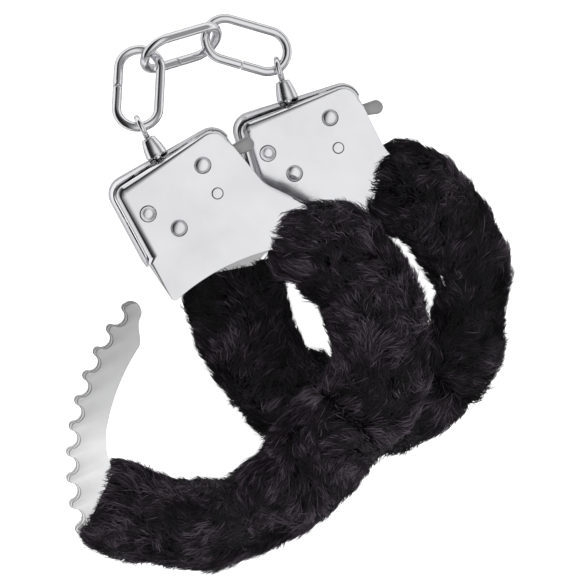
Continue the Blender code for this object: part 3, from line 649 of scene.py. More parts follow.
def arm():
    """The toothed arm: a full-width lower part and, on top, a land that leaves the tooth edge as a step."""
    edge = arm_outline()
    strip = prism(edge, -ARM_HALF_THICKNESS, ARM_HALF_THICKNESS - ARM_STEP, 0.4, 0.3, 4)
    moved = [(x + ARM_STEP_SHIFT[0], y + ARM_STEP_SHIFT[1]) for x, y in edge]
    land = prism(moved, -ARM_STEP, ARM_HALF_THICKNESS, 0.0, 0.3, 4)
    combine(land, prism(edge, -2 * ARM_STEP, ARM_HALF_THICKNESS + 1.0, 0.0, 0.0, 1), "INTERSECT")
    join(strip, land)
    join(strip, disc((0, 0), 4.4, -2.2, 2.2, 0.3))
    return cut(strip, disc((0, 0), ARM_BORE_RADIUS, -4, 4))


def plate_outline():
    """The cheek plate's edge, with a rim weight of 1 where the sheet is bent into a wall."""
    wrist = [polar(WRIST_EDGE_RADIUS, 12.4 + (-17.6 - 12.4) * i / 29) for i in range(30)]
    inner = list(reversed(offset_path(bow_line(-84.0, 47.0, 40), BOW_HALF_WIDTH)))
    boss = arc((0, 0), HINGE_BOSS_RADIUS, 86, 274, 30)
    outer = offset_path(bow_line(-84.0, 36.0, 38), -BOW_HALF_WIDTH)
    corners = [(p[0], p[1], 0.0, 0.0) for p in wrist + inner + boss + outer]
    corners += [
        (LOCK_SHOULDER_END[0], LOCK_SHOULDER_END[1], 3.0, 0.0),
        (LOCK_SHOULDER[0], LOCK_SHOULDER[1], 12.0, 0.0),
        (LOCK_SHOULDER_TOP + 0.05, LOCK_TOP - 7.5, 0.0, 0.0),
        (LOCK_SHOULDER_TOP, LOCK_TOP + 0.5 * LOCK_TOP_RISE, 5.2, 0.3),
        (-LOCK_LEFT + 0.2, LOCK_TOP - LOCK_TOP_RISE, 4.8, 1.0),
        (-LOCK_LEFT + 0.02, SLOT_TOP + 2.0, 0.0, 1.0),
        (-LOCK_LEFT, SLOT_TOP + 0.4, 4.0, 0.5),
        (-15.1, 57.75, 1.3, 0.0),
    ]
    return rounded(corners)


def cavity_outline():
    """The room between the two plates, open towards the slot and the bow."""
    wall = SHEET
    corners = [
        (-45, SLOT_TOP, 0),
        (-LOCK_LEFT + wall, SLOT_TOP, 0),
        (-LOCK_LEFT + wall + 0.1, LOCK_TOP - LOCK_TOP_RISE - wall, 3.7),
        (LOCK_SHOULDER_TOP - wall, LOCK_TOP + 0.5 * LOCK_TOP_RISE - wall, 4.1),
        (LOCK_SHOULDER[0] - wall, LOCK_SHOULDER[1] - 0.3, 12.0),
        (26.0, 67.0, 0),
        (48, 74, 0),
        (60, 20, 0),
        (45, -30, 0),
        (-45, -30, 0),
    ]
    return rounded([(x, y, r, 0.0) for x, y, r in corners])


def rim_levels(lip):
    """A plate's levels from seam to face, as (height, inset of a bent rim, inset of a plain edge)."""
    arcs = []
    rise = 0.0
    inset = -lip
    for first, last, radius in RIM_ARCS:
        for k in range(1, 9):
            a = math.radians(first + (last - first) * (k - 1) / 8)
            b = math.radians(first + (last - first) * k / 8)
            inset += radius * (math.sin(a) - math.sin(b))
            rise += radius * (math.cos(b) - math.cos(a))
            arcs.append((rise, inset))
    drop = 0.5 * CROWN_REACH * math.tan(math.radians(RIM_ARCS[-1][1]))
    low = FACE_Z - drop - rise
    levels = [(SEAM_HALF_GAP, 0.1 - lip, 0.1), (SEAM_HALF_GAP + 0.1, -lip, 0.0), (low, -lip, 0.0)]
    levels += [(low + rise, inset, 0.0) for rise, inset in arcs]
    for k in range(1, 9):
        t = k / 8
        levels.append((FACE_Z - drop * (1 - t) ** 2, inset + CROWN_REACH * t, PLAIN_EDGE * t ** 3))
    return levels


def cheek_plate(side, keyhole):
    """One cheek plate: a sloping rim, a tight bend, a crowned margin and a flat face; side is +1 or -1."""
    outline = plate_outline()
    rims = [p[2] for p in outline]
    stack = []
    for z, bent, plain in rim_levels(BACK_RIM_LIP if side < 0 else 0.0):
        distances = [plain + (bent - plain) * rim for rim in rims]
        stack.append((z, [inset_loop(outline, distances)]))
    plate = stacked(stack)
    hollow = cavity_outline()
    narrow = inset_loop(hollow, [1.7] * len(hollow))
    cut(plate, stacked([(-2.0, [hollow]), (1.4, [hollow]), (FACE_Z - SHEET, [narrow])]))
    step = [(10.5, 51.6), (34.0, 76.0), (70, 76), (70, -30), (-30, -30), (-30, 51.6)]
    cut(plate, prism(step, BOW_FACE_Z, FACE_Z + 3))
    big = RIVET_HEAD_RADIUS + HOLE_GAP
    holes = [(RIVET_LEFT_AT, big), (RIVET_MID_AT, big), (RIVET_RIGHT_AT, big)]
    holes += [(PAWL_PIN_AT, PIN_HEAD_RADIUS + HOLE_GAP), ((0, 0), ARM_BORE_RADIUS)]
    for at, radius in holes:
        cut(plate, disc(at, radius, 0, 8))
    bore = [(0, 88), (SHANK_BORE_RADIUS, 88.001), (SHANK_BORE_RADIUS, 99.999), (0, 100)]
    cut(plate, lathe(bore, 32, "Y"))
    slot = [(17.4, 83.9), (24.5, 83.9), (24.5, 91.2), (17.4, 91.2)]
    cut(plate, prism(slot, -2, 1.75))
    if keyhole:
        x, y = KEY_POST_AT
        cut(plate, disc(KEY_POST_AT, 1.9, 0, 8))
        cut(plate, bar((x, y + 0.4), (x, y + 3.8), 0.75, 0.75, 0, 8))
    if side < 0:
        plate.data.transform(Matrix.Diagonal((1, 1, -1, 1)))
        plate.data.flip_normals()
    return plate


def dome(radius, base, height):
    return [(radius * math.sin(DOME_TURN * k), base + height * math.cos(DOME_TURN * k)) for k in range(11)]


def rivet(at, head, shank, style):
    """A rivet through both plates: style is domed, ringed or flat."""
    face = FACE_Z
    if style == "domed":
        end = dome(head * 0.92, face - 0.02, 0.57) + [(head * 0.95, face - 0.1)]
    elif style == "ringed":
        end = dome(head * 0.6, face - 0.16, 0.2)
        end += [(head * 0.66, face - 0.24), (head * 0.72, face - 0.2), (head * 0.8, face + 0.02)]
        end += [(head * 0.9, face + 0.06), (head * 0.98, face - 0.06)]
    else:
        end = dome(head * 0.9, face - 0.02, 0.06) + [(head * 0.97, face - 0.08)]
    profile = end + [(head, face - 0.22), (head, 2.05), (shank, 1.85)]
    whole = profile + [(r, -z) for r, z in reversed(profile)]
    obj = lathe(list(reversed(whole)))
    obj.data.transform(Matrix.Translation(Vector((at[0], at[1], 0)) * MM))
    return obj


def hinge_rivet():
    low = BOW_FACE_Z + 0.3
    profile = dome(3.3, low + 0.3, 0.8) + [(3.4, low + 0.15), (3.4, low), (2.0, low)]
    return lathe(list(reversed(profile + [(r, -z) for r, z in reversed(profile)])))


def lever():
    """The release lever: a nose over the pawl's tail and a rounded finger tab outside the case."""
    boss = disc(RIVET_RIGHT_AT, 3.0, -1.3, 1.3, 0.2)
    join(boss, bar(RIVET_RIGHT_AT, LEVER_NOSE_AT, 1.6, 1.1, -1.2, 1.2, 0.2))
    join(boss, bar(RIVET_RIGHT_AT, LEVER_NECK_AT, 1.7, 1.35, -1.15, 1.15, 0.3))
    join(boss, bar((17.4, 86.85), LEVER_TAB_AT, 1.3, LEVER_TAB_RADIUS, -1.25, 1.25, 0.45))
    return cut(boss, disc(RIVET_RIGHT_AT, 1.8, -4, 4))


def swivel_collar():
    base = COLLAR_BASE_Y
    top = COLLAR_TOP_Y
    profile = [(0, 91.4), (2.2, 91.4), (2.2, 92.6), (1.3, 93.0), (1.3, base + 0.2), (2.7, base + 0.02)]
    profile += [(2.95, base + 0.08), (3.08, base + 0.28), (3.06, base + 0.5)]
    low = base + 0.6
    high = top - 0.3
    for k in range(9):
        t = k / 8
        profile.append((3.02 - 0.98 * t + 0.12 * math.sin(math.pi * t), low + (high - low) * t))
    profile += [(1.98, top - 0.12), (1.86, top), (1.5, top), (1.38, top - 0.1)]
    profile += [(1.3, top - 2.6), (0, top - 2.6)]
    return lathe(profile, 56, "Y")


def swivel_eye(spin):
    turns = [2 * math.pi * i / 48 for i in range(48)]
    ring = [Vector((0, EYE_Y + EYE_RADIUS * math.cos(t), EYE_RADIUS * math.sin(t))) for t in turns]
    eye = tube(ring, EYE_WIRE, 20, True, (1, 0, 0))
    low = COLLAR_TOP_Y - 2.2
    high = COLLAR_TOP_Y + EYE_RISE
    join(eye, lathe([(0, low), (0.9, low + 0.001), (0.9, high - 0.001), (0, high)], 28, "Y"))
    eye.data.transform(Matrix.Rotation(math.radians(-spin), 4, "Y"))
    return eye


def link(centre, along, face):
    """An oval link bent from wire, with a slightly swollen butt seam in the middle of one long side."""
    gap = 0.5 * LINK_SEAM
    shares = (0.0, 0.02, 0.06, 0.12, 0.3, 0.6, 1.0)
    straight = [gap + (LINK_HALF_STRAIGHT - gap) * share for share in shares]
    path = [(x, -LINK_END_RADIUS) for x in straight[:-1]]
    path += arc((LINK_HALF_STRAIGHT, 0), LINK_END_RADIUS, -90, 90, 33)
    path += arc((-LINK_HALF_STRAIGHT, 0), LINK_END_RADIUS, 90, 270, 33)
    path += [(-x, -LINK_END_RADIUS) for x in reversed(straight[:-1])]
    flat = [Vector((x, y, 0)) for x, y in path]
    swell = [LINK_WIRE] * len(flat)
    for k, share in enumerate((0.9, 1.0, 1.03, 1.0)):
        swell[k] = LINK_WIRE * share
        swell[-1 - k] = LINK_WIRE * share
    obj = tube(flat, swell, 28)
    along = Vector(along).normalized()
    face = Vector(face)
    face = (face - along * face.dot(along)).normalized()
    turned = Matrix((along, face.cross(along), face)).transposed().to_4x4()
    obj.data.transform(Matrix.Translation(Vector(centre) * MM) @ turned)
    return obj


def place(obj, name, placement, look, body, slot, *nodes, sharp=32.0):
    """Moves a finished shape to its place in the row, ties it to its body and hides its CAD nodes; the slot
    is not used.
    """
    work = bmesh.new()
    work.from_mesh(obj.data)
    bmesh.ops.remove_doubles(work, verts=work.verts, dist=2e-6)
    bmesh.ops.dissolve_degenerate(work, dist=2e-6, edges=work.edges)
    work.to_mesh(obj.data)
    work.free()
    obj.name = obj.data.name = name
    obj.data.materials.clear()
    obj.data.materials.append(look)
    obj.data.transform(placement)
    obj.data.shade_smooth()
    obj.data.set_sharp_from_angle(angle=math.radians(sharp))
    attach(obj, body)
    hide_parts(*nodes)
    return obj


def build_metal(tag, placement, looks):
    cuff = "cuff_" + tag
    swing = placement @ Matrix.Rotation(math.radians(-REST_CLOSING[tag]), 4, "Z")
    for node, side, keyhole in (("front_plate_", 1, False), ("back_plate_", -1, True)):
        plate = cheek_plate(side, keyhole)
        # the back plate takes a darker copy of the plated steel as painted shade
        look = looks["steel"] if side > 0 else looks["back_steel_painted_shade"]
        place(plate, "shell_" + node + tag, placement, look, cuff, "steel", node + tag)
    place(arm(), "toothed_arm_" + tag, swing, looks["arm"], "jaw_" + tag, "arm_steel", "arm_" + tag)
    swivel = "swivel_" + tag
    steel = (looks["steel"], cuff, "steel")
    big = (RIVET_HEAD_RADIUS, SHANK_BORE_RADIUS)
    shapes = (
        ("turned_", "rivet_left_", rivet(RIVET_LEFT_AT, *big, "ringed"), *steel),
        ("turned_", "rivet_mid_", rivet(RIVET_MID_AT, *big, "domed"), *steel),
        ("turned_", "rivet_right_", rivet(RIVET_RIGHT_AT, *big, "domed"), *steel),
        ("turned_", "pawl_stop_", rivet(PAWL_PIN_AT, PIN_HEAD_RADIUS, 1.1, "flat"), *steel),
        ("turned_", "hinge_rivet_", hinge_rivet(), looks["plain"], cuff, "plain_steel"),
        ("cast_", "release_lever_", lever(), looks["lever"], "lever_" + tag, "lever_metal"),
        ("turned_", "swivel_collar_", swivel_collar(), looks["steel"], swivel, "steel"),
        ("bent_", "swivel_eye_", swivel_eye(EYE_SPIN[tag]), looks["chain"], swivel, "steel"),
    )
    for prefix, node, shape, look, body, slot in shapes:
        place(shape, prefix + node + tag, placement, look, body, slot, node + tag)
    for node in ("pawl_", "pawl_spring_", "key_post_"):
        keep = frame["nodes"][node + tag]
        keep.data.materials.clear()
        keep.data.materials.append(looks["plain"])


# Fur


class Waves:
    """Smooth random values from -1 to 1 over points in millimetres, as a sum of waves."""

    def __init__(self, seed, longest, shortest, count=14):
        rng = np.random.default_rng(seed)
        heading = rng.normal(size=(count, 3))
        heading /= np.linalg.norm(heading, axis=1, keepdims=True)
        self.wave = heading * (2 * np.pi / rng.uniform(shortest, longest, (count, 1)))
        self.phase = rng.uniform(0, 2 * np.pi, count)
        self.share = math.sqrt(2.0 / count) * 0.7

    def at(self, points):
        total = np.zeros(points.shape[:-1])
        for wave, phase in zip(self.wave, self.phase):
            total += np.sin(points @ wave + phase)
        return np.clip(total * self.share, -1.6, 1.6)


def even_path(points, count):
    """A smooth curve through the points, as this many points at equal steps, and its length."""
    points = np.array(points, float)
    ends = [2 * points[0] - points[1], *points, 2 * points[-1] - points[-2]]
    fine = []
    for a, b, c, d in zip(ends, ends[1:], ends[2:], ends[3:]):
        for t in np.linspace(0, 1, 24, endpoint=False):
            square = (2 * a - 5 * b + 4 * c - d) * t ** 2
            cube = (3 * b - a - 3 * c + d) * t ** 3
            fine.append(0.5 * (2 * b + (c - a) * t + square + cube))
    fine = np.array(fine + [points[-1]])
    along = np.concatenate([[0.0], np.cumsum(np.linalg.norm(np.diff(fine[:, :2], axis=0), axis=1))])
    marks = np.linspace(0, along[-1], count)
    return np.stack([np.interp(marks, along, fine[:, k]) for k in range(points.shape[1])], 1), along[-1]


def smooth_path(path, reach):
    """Two passes of a moving mean; the path is mirrored through its ends, so they stay in place."""
    for _ in range(2):
        before = 2 * path[:1] - path[reach:0:-1]
        after = 2 * path[-1:] - path[-2:-2 - reach:-1]
        padded = np.concatenate([before, path, after])
        kernel = np.ones(2 * reach + 1) / (2 * reach + 1)
        path = np.stack([np.convolve(padded[:, k], kernel, "valid") for k in range(path.shape[1])], 1)
    return path


def across_sides(grid):
    """At each point, the step from the neighbour before to the one after it round the tube."""
    return np.roll(grid, -1, axis=1) - np.roll(grid, 1, axis=1)


def round_hem(distance, reach):
    """Goes from 0 at a hem to 1 at the reach, along a quarter circle."""
    share = np.clip(distance / reach, 0.0, 1.0)
    return np.sqrt(share * (2 - share))


def superellipse(value):
    return np.sign(value) * np.abs(value) ** (2.0 / SKIN_SQUARENESS)


class Sleeve:
    """A furry tube from the lock, round the bow and the hinge, to its hem on the arm."""

    def __init__(self, tag, placement):
        self.tag = tag
        turn = Matrix.Rotation(-math.radians(REST_CLOSING[tag]), 2)
        arm_part = [(*(turn @ Vector((x, y))), half) for x, y, half in ARM_SLEEVE[tag]]
        path, self.length = even_path(BOW_SLEEVE[tag] + arm_part, SKIN_STATIONS)
        path = smooth_path(path, 5)
        self.half = path[:, 2] - PILE
        self.path = path[:, :2]
        self.placement = np.array(placement)
        self.step = self.length / (SKIN_STATIONS - 1)
        ahead = np.gradient(self.path, axis=0)
        ahead /= np.linalg.norm(ahead, axis=1, keepdims=True)
        self.side = np.stack([ahead[:, 1], -ahead[:, 0]], 1)
        seed = FUR_SEED[tag]
        self.lumps = Waves(seed, 30.0, 15.0)
        self.dents = Waves(seed + 1, 13.0, 7.0)
        self.rng = np.random.default_rng(seed + 2)
        self.grid = self.surface()
        self.normals = self.grid_normals(self.grid)

    def surface(self):
        """The skin's points as [station, place round the tube, xyz], in row millimetres."""
        s = np.arange(SKIN_STATIONS) * self.step
        round_it = np.linspace(0, 2 * np.pi, SKIN_SIDES, endpoint=False)
        from_lock = round_hem(s, LOCK_HEM_REACH)
        from_hem = round_hem(self.length - s, ARM_HEM_REACH)
        full = from_lock * from_hem
        share = 1 - (1 - LOCK_HEM_SHARE) * (1 - from_lock) - (1 - ARM_HEM_SHARE) * (1 - from_hem)
        width = self.half * share
        height = SKIN_HALF_HEIGHT * share
        lateral = width[:, None] * superellipse(np.cos(round_it))[None, :]
        upright = height[:, None] * superellipse(np.sin(round_it))[None, :]
        x = self.path[:, 0:1] + self.side[:, 0:1] * lateral
        y = self.path[:, 1:2] + self.side[:, 1:2] * lateral
        grid = np.stack([x, y, upright], 2)
        normals = self.grid_normals(grid)
        swell = self.lumps.at(grid) * LUMP_HEIGHT + self.dents.at(grid) * DENT_HEIGHT
        grid = grid + normals * (swell * full[:, None])[:, :, None]
        world = grid.reshape(-1, 3) @ self.placement[:3, :3].T + self.placement[:3, 3] / MM
        return world.reshape(grid.shape)

    @staticmethod
    def grid_normals(grid):
        along = np.gradient(grid, axis=0)
        normals = np.cross(along, across_sides(grid))
        normals /= np.linalg.norm(normals, axis=2, keepdims=True) + 1e-12
        centre = grid.mean(axis=1, keepdims=True)
        outward = np.sign(np.median(((grid - centre) * normals).sum(axis=2)))
        return normals * outward

    def skin(self, look):
        """The backing as a closed mesh, tucked in round the metal at both hems."""
        rings = [list(ring) for ring in self.grid]
        for end, at in ((0, 0), (-1, -1)):
            centre = self.grid[at].mean(axis=0)
            for share in (0.86, 0.66):
                tucked = list(centre + (self.grid[at] - centre) * share)
                if end == 0:
                    rings.insert(0, tucked)
                else:
                    rings.append(tucked)
        obj = loft(rings)
        obj.name = obj.data.name = "fur_backing_" + self.tag
        obj.data.materials.append(look)
        obj.data.shade_smooth()
        return obj

    def look_up(self, array, i, j):
        """The array's values at fractional station i and side j; past a hem the grid runs straight on."""
        last = SKIN_STATIONS - 1
        base = np.clip(np.floor(i).astype(int), 0, last - 1)
        f = (i - base)[..., None]
        if array is self.normals:
            f = np.clip(f, -0.999, 1.0)
        low = np.floor(j).astype(int)
        g = (j - low)[..., None]
        a = array[base, low % SKIN_SIDES] * (1 - g) + array[base, (low + 1) % SKIN_SIDES] * g
        b = array[base + 1, low % SKIN_SIDES] * (1 - g) + array[base + 1, (low + 1) % SKIN_SIDES] * g
        return a * (1 - f) + b * f

    def strands(self, look):
        """Tapered three-sided strands that lie along the skin and gather into locks at their tips."""
        rng = self.rng
        side_length = np.linalg.norm(np.roll(self.grid, -1, axis=1) - self.grid, axis=2)
        round_length = side_length.mean() * SKIN_SIDES
        count = int(self.length * round_length * STRANDS_PER_MM2)
        i0 = rng.uniform(0, SKIN_STATIONS - 1, count)
        j0 = rng.uniform(0, SKIN_SIDES, count)
        root = self.look_up(self.grid, i0, j0)
        along = np.linalg.norm(np.gradient(self.grid, axis=0), axis=2)[..., None]
        around = (0.5 * np.linalg.norm(across_sides(self.grid), axis=2))[..., None]

        lock_count = int(count / (STRANDS_PER_MM2 * LOCK_AREA))
        li = rng.uniform(0, SKIN_STATIONS - 1, lock_count)
        lj = rng.uniform(0, SKIN_SIDES, lock_count)
        lock_root = self.look_up(self.grid, li, lj)
        tree = KDTree(lock_count)
        for index, point in enumerate(lock_root):
            tree.insert(point, index)
        tree.balance()
        owner = np.array([tree.find(point)[1] for point in root])

        turn_field = Waves(self.rng.integers(1000), 46.0, 22.0)
        swirl_field = Waves(self.rng.integers(1000), 14.0, 7.0)
        tone_field = Waves(self.rng.integers(1000), 24.0, 9.0)
        fine_field = Waves(self.rng.integers(1000), 7.0, 3.5)

        def heading(points, i):
            toward_hem = np.where(i > SKIN_STATIONS * PARTING, 0.0, math.pi)
            return toward_hem + 0.75 * turn_field.at(points) + 0.55 * swirl_field.at(points)

        def tip(i, j, turn, length):
            di = length * np.cos(turn) / np.maximum(self.look_up(along, i, j)[:, 0], 0.15)
            dj = length * np.sin(turn) / np.maximum(self.look_up(around, i, j)[:, 0], 0.15)
            return i + di, j + dj

        lock_turn = heading(lock_root, li) + rng.normal(0, LOCK_TURN_SPREAD, lock_count)
        lock_length = rng.uniform(*LOCK_LENGTH, lock_count)
        lock_i, lock_j = tip(li, lj, lock_turn, lock_length)
        lock_rise = rng.uniform(*LOCK_RISE, lock_count)
        lock_tone = rng.normal(0, 0.1, lock_count)

        turn = heading(root, i0) + rng.normal(0, STRAND_TURN_SPREAD, count)
        length = lock_length[owner] * rng.uniform(0.75, 1.12, count)
        own_i, own_j = tip(i0, j0, turn, length)
        wrap = SKIN_SIDES * np.round((j0 - lj[owner]) / SKIN_SIDES)
        pull = rng.uniform(*LOCK_PULL, count)
        tip_i = own_i + (lock_i[owner] - own_i) * pull
        tip_j = own_j + (lock_j[owner] + wrap - own_j) * pull
        # at a hem the hair lies down on the metal and stops a little past it
        least_i = -LOCK_FRINGE / self.step * rng.uniform(0.2, 1.0, count)
        most_i = SKIN_STATIONS - 1 + ARM_FRINGE / self.step * rng.uniform(0.2, 1.0, count)
        tip_i = np.clip(tip_i, least_i, most_i)
        rise = lock_rise[owner] * rng.uniform(0.7, 1.2, count)
        loose = rng.random(count) < LOOSE_SHARE
        rise = np.where(loose, rise + rng.uniform(0.3, 1.1, count), rise)

        marks = np.linspace(0, 1, len(STRAND_TAPER) + 1)
        curl = rng.normal(0, 0.5, (2, count))
        points = []
        for t in marks:
            bend = 4 * t * (1 - t)
            i = i0 + (tip_i - i0) * t + curl[0] * bend
            j = j0 + (tip_j - j0) * t + curl[1] * bend
            height = rise * (1 - (1 - t) ** 1.8) - 0.25 * (1 - t)
            beyond = np.maximum(0, np.maximum(-i, i - (SKIN_STATIONS - 1))) * self.step
            sink = np.minimum(0.5 * beyond, 2.0)
            skin = self.look_up(self.grid, i, j)
            points.append(skin + self.look_up(self.normals, i, j) * (height - sink)[:, None])
        normal = self.look_up(self.normals, i0, j0)
        # the base tone carries each sleeve's painted light and shade; the waves and lock tones vary at
        # random
        tone = FUR_TONE_AND_PAINTED_LIGHT[self.tag] + 0.2 * tone_field.at(root) + 0.15 * fine_field.at(root)
        tone = tone + lock_tone[owner] + rng.normal(0, 0.15, count)
        # painted highlight: strands that stand higher off the skin are made lighter
        tone = np.clip(tone + 0.16 * (rise - 1.5), 0.02, 0.98)
        width = rng.uniform(*STRAND_WIDTH, count)
        pieces = []
        order = np.argsort(i0)
        for number, start in enumerate(range(0, count, STRANDS_PER_PIECE)):
            chosen = order[start:start + STRANDS_PER_PIECE]
            part = [p[chosen] for p in points]
            name = f"fur_strands_{self.tag}_{number + 1:02d}"
            pieces.append(strand_mesh(name, part, normal[chosen], width[chosen], tone[chosen], look))
        return pieces


def strand_mesh(name, points, normal, width, tone, look):
    """Closed three-sided spikes along rows of points; the UV map holds each one's tone and way along."""
    count = len(width)
    rings = len(points) - 1
    axis = points[-1] - points[0]
    axis /= np.linalg.norm(axis, axis=1, keepdims=True) + 1e-9
    across = np.cross(axis, normal)
    across /= np.linalg.norm(across, axis=1, keepdims=True) + 1e-9
    lift = np.cross(across, axis)
    corners = []
    for r in range(rings):
        for turn in (90.0, 210.0, 330.0):
            t = math.radians(turn)
            offset = across * math.cos(t) * 1.25 + lift * math.sin(t) * 0.8
            corners.append(points[r] + offset * (width * STRAND_TAPER[r])[:, None])
    corners.append(points[-1])
    per = len(corners)
    vertices = np.stack(corners, 1).reshape(-1, 3) * MM
    faces = [(0, 1, 2)]
    for r in range(rings - 1):
        a = 3 * r
        for k in range(3):
            faces.append((a + (k + 1) % 3, a + k, a + 3 + k, a + 3 + (k + 1) % 3))
    a = 3 * (rings - 1)
    for k in range(3):
        faces.append((a + (k + 1) % 3, a + k, per - 1))
    loops = np.concatenate([np.array(f) for f in faces])
    sizes = np.array([len(f) for f in faces])
    base = (np.arange(count) * per)[:, None]
    loop_vertex = (loops[None, :] + base).ravel().astype(np.int32)
    mesh = bpy.data.meshes.new(name)
    mesh.vertices.add(count * per)
    mesh.vertices.foreach_set("co", vertices.astype(np.float32).ravel())
    mesh.loops.add(len(loop_vertex))
    mesh.loops.foreach_set("vertex_index", loop_vertex)
    starts = np.concatenate([[0], np.cumsum(np.tile(sizes, count))[:-1]]).astype(np.int32)
    mesh.polygons.add(len(starts))
    mesh.polygons.foreach_set("loop_start", starts)
    way = np.array([r / rings for r in range(rings) for _ in range(3)] + [1.0])
    uv = mesh.uv_layers.new(name="OFBake")
    pairs = np.stack([np.repeat(tone, len(loops)), np.tile(0.01 + 0.98 * way[loops], count)], 1)
    uv.data.foreach_set("uv", pairs.astype(np.float32).ravel())
    mesh.update(calc_edges=True)
    mesh.polygons.foreach_set("use_smooth", np.ones(len(starts), bool))
    mesh.materials.append(look)
    return add_object(name, mesh)


def build_fur(tag, placement, looks):
    sleeve = Sleeve(tag, placement)
    backing = sleeve.skin(looks["backing"])
    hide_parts("bow_fur_" + tag, "arm_fur_" + tag)
    for piece in [backing] + sleeve.strands(looks["strands"]):
        piece.visible_glossy = False
        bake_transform(piece)


# Studio


def floor(look):
    """A pale sheet with a hem that curls up a little way off."""
    work = bmesh.new()
    bmesh.ops.create_grid(work, x_segments=FLOOR_CELLS, y_segments=FLOOR_CELLS, size=FLOOR_HALF)
    for vertex in work.verts:
        rise = max(0.0, vertex.co.xy.length - FLOOR_CURL_START)
        vertex.co.z = FLOOR_Z + FLOOR_CURL * rise * rise
    mesh = bpy.data.meshes.new("floor")
    work.to_mesh(mesh)
    work.free()
    mesh.shade_smooth()
    mesh.materials.append(look)
    add_object("floor", mesh)


def pale_floor():
    """White to the camera; the metal mirrors it as a sheet that glows as painted light, grey close by as a
    painted shadow and bright further off.
    """
    m = Nodes(bpy.data.materials.new("pale_floor"))
    m.link(m.ramp(m.noise(3.0), [(0.0, 0.9), (1.0, 0.92)]), m.shader.inputs["Base Color"])
    m.shader.inputs["Roughness"].default_value = 0.9
    m.shader.inputs["Emission Color"].default_value = (1, 1, 1, 1)
    place = m.add("ShaderNodeNewGeometry")
    away = m.add("ShaderNodeVectorMath", operation="LENGTH")
    m.link(place.outputs["Position"], away.inputs[0])
    # painted light seen only in mirrors: the floor glows faintly near the cuffs, a painted shadow, and
    # brighter further off
    glow = m.ramp(away.outputs["Value"], [(0.1, 0.03), (0.22, 0.5), (0.5, 0.6)])
    ray = m.add("ShaderNodeLightPath")
    mirrored = m.add("ShaderNodeMath", operation="MULTIPLY_ADD")
    m.link(ray.outputs["Is Glossy Ray"], mirrored.inputs[0])
    m.link(glow, mirrored.inputs[1])
    m.link(ray.outputs["Is Camera Ray"], mirrored.inputs[2])
    m.link(mirrored.outputs["Value"], m.shader.inputs["Emission Strength"])
    return m.owner


def studio_light():
    """A white ceiling round the camera, walls darker to one side, and two soft lamps."""
    world = bpy.data.worlds.new("studio")
    bpy.context.scene.world = world
    m = Nodes(world, "Background")
    heading = m.add("ShaderNodeTexCoord").outputs["Generated"]
    split = m.add("ShaderNodeSeparateXYZ")
    m.link(heading, split.inputs["Vector"])
    lean = m.add("ShaderNodeVectorMath", operation="DOT_PRODUCT")
    lean.inputs[1].default_value = DARK_SIDE
    m.link(heading, lean.inputs[0])

    def scaled(source, factor, shift):
        node = m.add("ShaderNodeMath", operation="MULTIPLY_ADD")
        node.inputs[1].default_value = factor
        node.inputs[2].default_value = shift
        m.link(source, node.inputs[0])
        return node.outputs["Value"]

    def graded(source, stops):
        """Grey by a value from -1 to 1."""
        return m.ramp(scaled(source, 0.5, 0.5), [(0.5 + 0.5 * value, grey) for value, grey in stops])

    raised = graded(split.outputs["Z"], ROOM_RAISED)
    by_height = graded(split.outputs["Z"], ROOM_BY_HEIGHT)
    across = graded(lean.outputs["Value"], ROOM_ACROSS)
    m.link(m.mix("MULTIPLY", raised, by_height, across), m.shader.inputs["Color"])
    # the metal mirrors the full room, the fur is lit more by the lamps
    mirrored = m.add("ShaderNodeLightPath").outputs["Is Glossy Ray"]
    m.link(scaled(mirrored, ROOM_MIRRORED - ROOM_GLOW, ROOM_GLOW), m.shader.inputs["Strength"])
    for name, at, size, power in LAMPS:
        light = bpy.data.lights.new(name, "AREA")
        light.shape = "DISK"
        light.size = size
        light.energy = power
        lamp = add_object(name, light)
        lamp.location = at
        lamp.rotation_euler = (Vector(LAMP_TARGET) - Vector(at)).to_track_quat("-Z", "Y").to_euler()
        lamp.visible_glossy = False


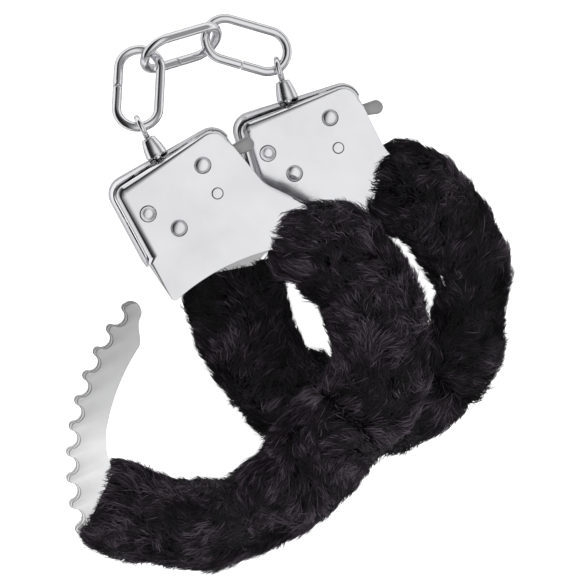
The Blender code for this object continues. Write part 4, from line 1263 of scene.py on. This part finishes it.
def camera():
    """A long lens, a little above and to the left of straight down."""
    toward = Vector(CAMERA_TOWARD).normalized()
    right = Vector((0, 1, 0)).cross(toward).normalized()
    up = toward.cross(right)
    lens = bpy.data.cameras.new("camera")
    lens.sensor_width = SENSOR_WIDTH
    lens.lens = SENSOR_WIDTH * CAMERA_DISTANCE / VIEW_WIDTH
    lens.clip_end = 20
    obj = add_object("camera", lens)
    place_at = Matrix.Translation(Vector(CAMERA_TARGET) + toward * CAMERA_DISTANCE)
    obj.matrix_world = place_at @ Matrix((right, up, toward)).transposed().to_4x4()
    bpy.context.scene.camera = obj


def cuff_placement(tag):
    """The cuff's own frame in the row, from its hinge and the axis of its swivel."""
    hinge = Vector(JOINTS["jaw_" + tag + "_hinge"]["pos_m"])
    along = Vector(JOINTS["swivel_" + tag + "_spin"]["axis"])
    if tag == "b":
        along = -along
    up = Vector((0, 0, 1))
    return Matrix.Translation(hinge) @ Matrix((along.cross(up), along, up)).transposed().to_4x4()


def main():
    bpy.context.scene.view_settings.view_transform = "Standard"
    looks = {
        "steel": metal("plated_steel", (0.85, 0.85, 0.87), (0.79, 0.79, 0.81), 0.1, 0.19),
        # the same plated steel painted darker, as painted shade on the back plate
        "back_steel_painted_shade": metal("back_plate_painted_shade", (0.6, 0.6, 0.62), (0.54, 0.54, 0.56), 0.14, 0.24),
        "arm": metal("arm_steel", (0.95, 0.95, 0.96), (0.9, 0.9, 0.91), 0.14, 0.24, painted_shade=ARM_PAINTED_SHADE),
        "plain": metal("plain_steel", (0.5, 0.5, 0.51), (0.4, 0.4, 0.41), 0.3, 0.5),
        "lever": metal("cast_lever", (0.5, 0.5, 0.5), (0.42, 0.42, 0.42), 0.45, 0.65, 0.1, 0.2),
        "chain": metal("chain_wire", (0.84, 0.84, 0.86), (0.78, 0.78, 0.8), 0.08, 0.15),
        "backing": fur_skin(),
        "strands": fur_strand(),
    }
    for tag in ("a", "b"):
        placement = cuff_placement(tag)
        build_metal(tag, placement, looks)
        build_fur(tag, placement, looks)
    chain = cuff_placement("a")
    for name, pose in LINKS.items():
        place(link(*pose), "bent_" + name, chain, looks["chain"], name, "chain_wire", name)
    floor(pale_floor())
    studio_light()
    camera()


main()
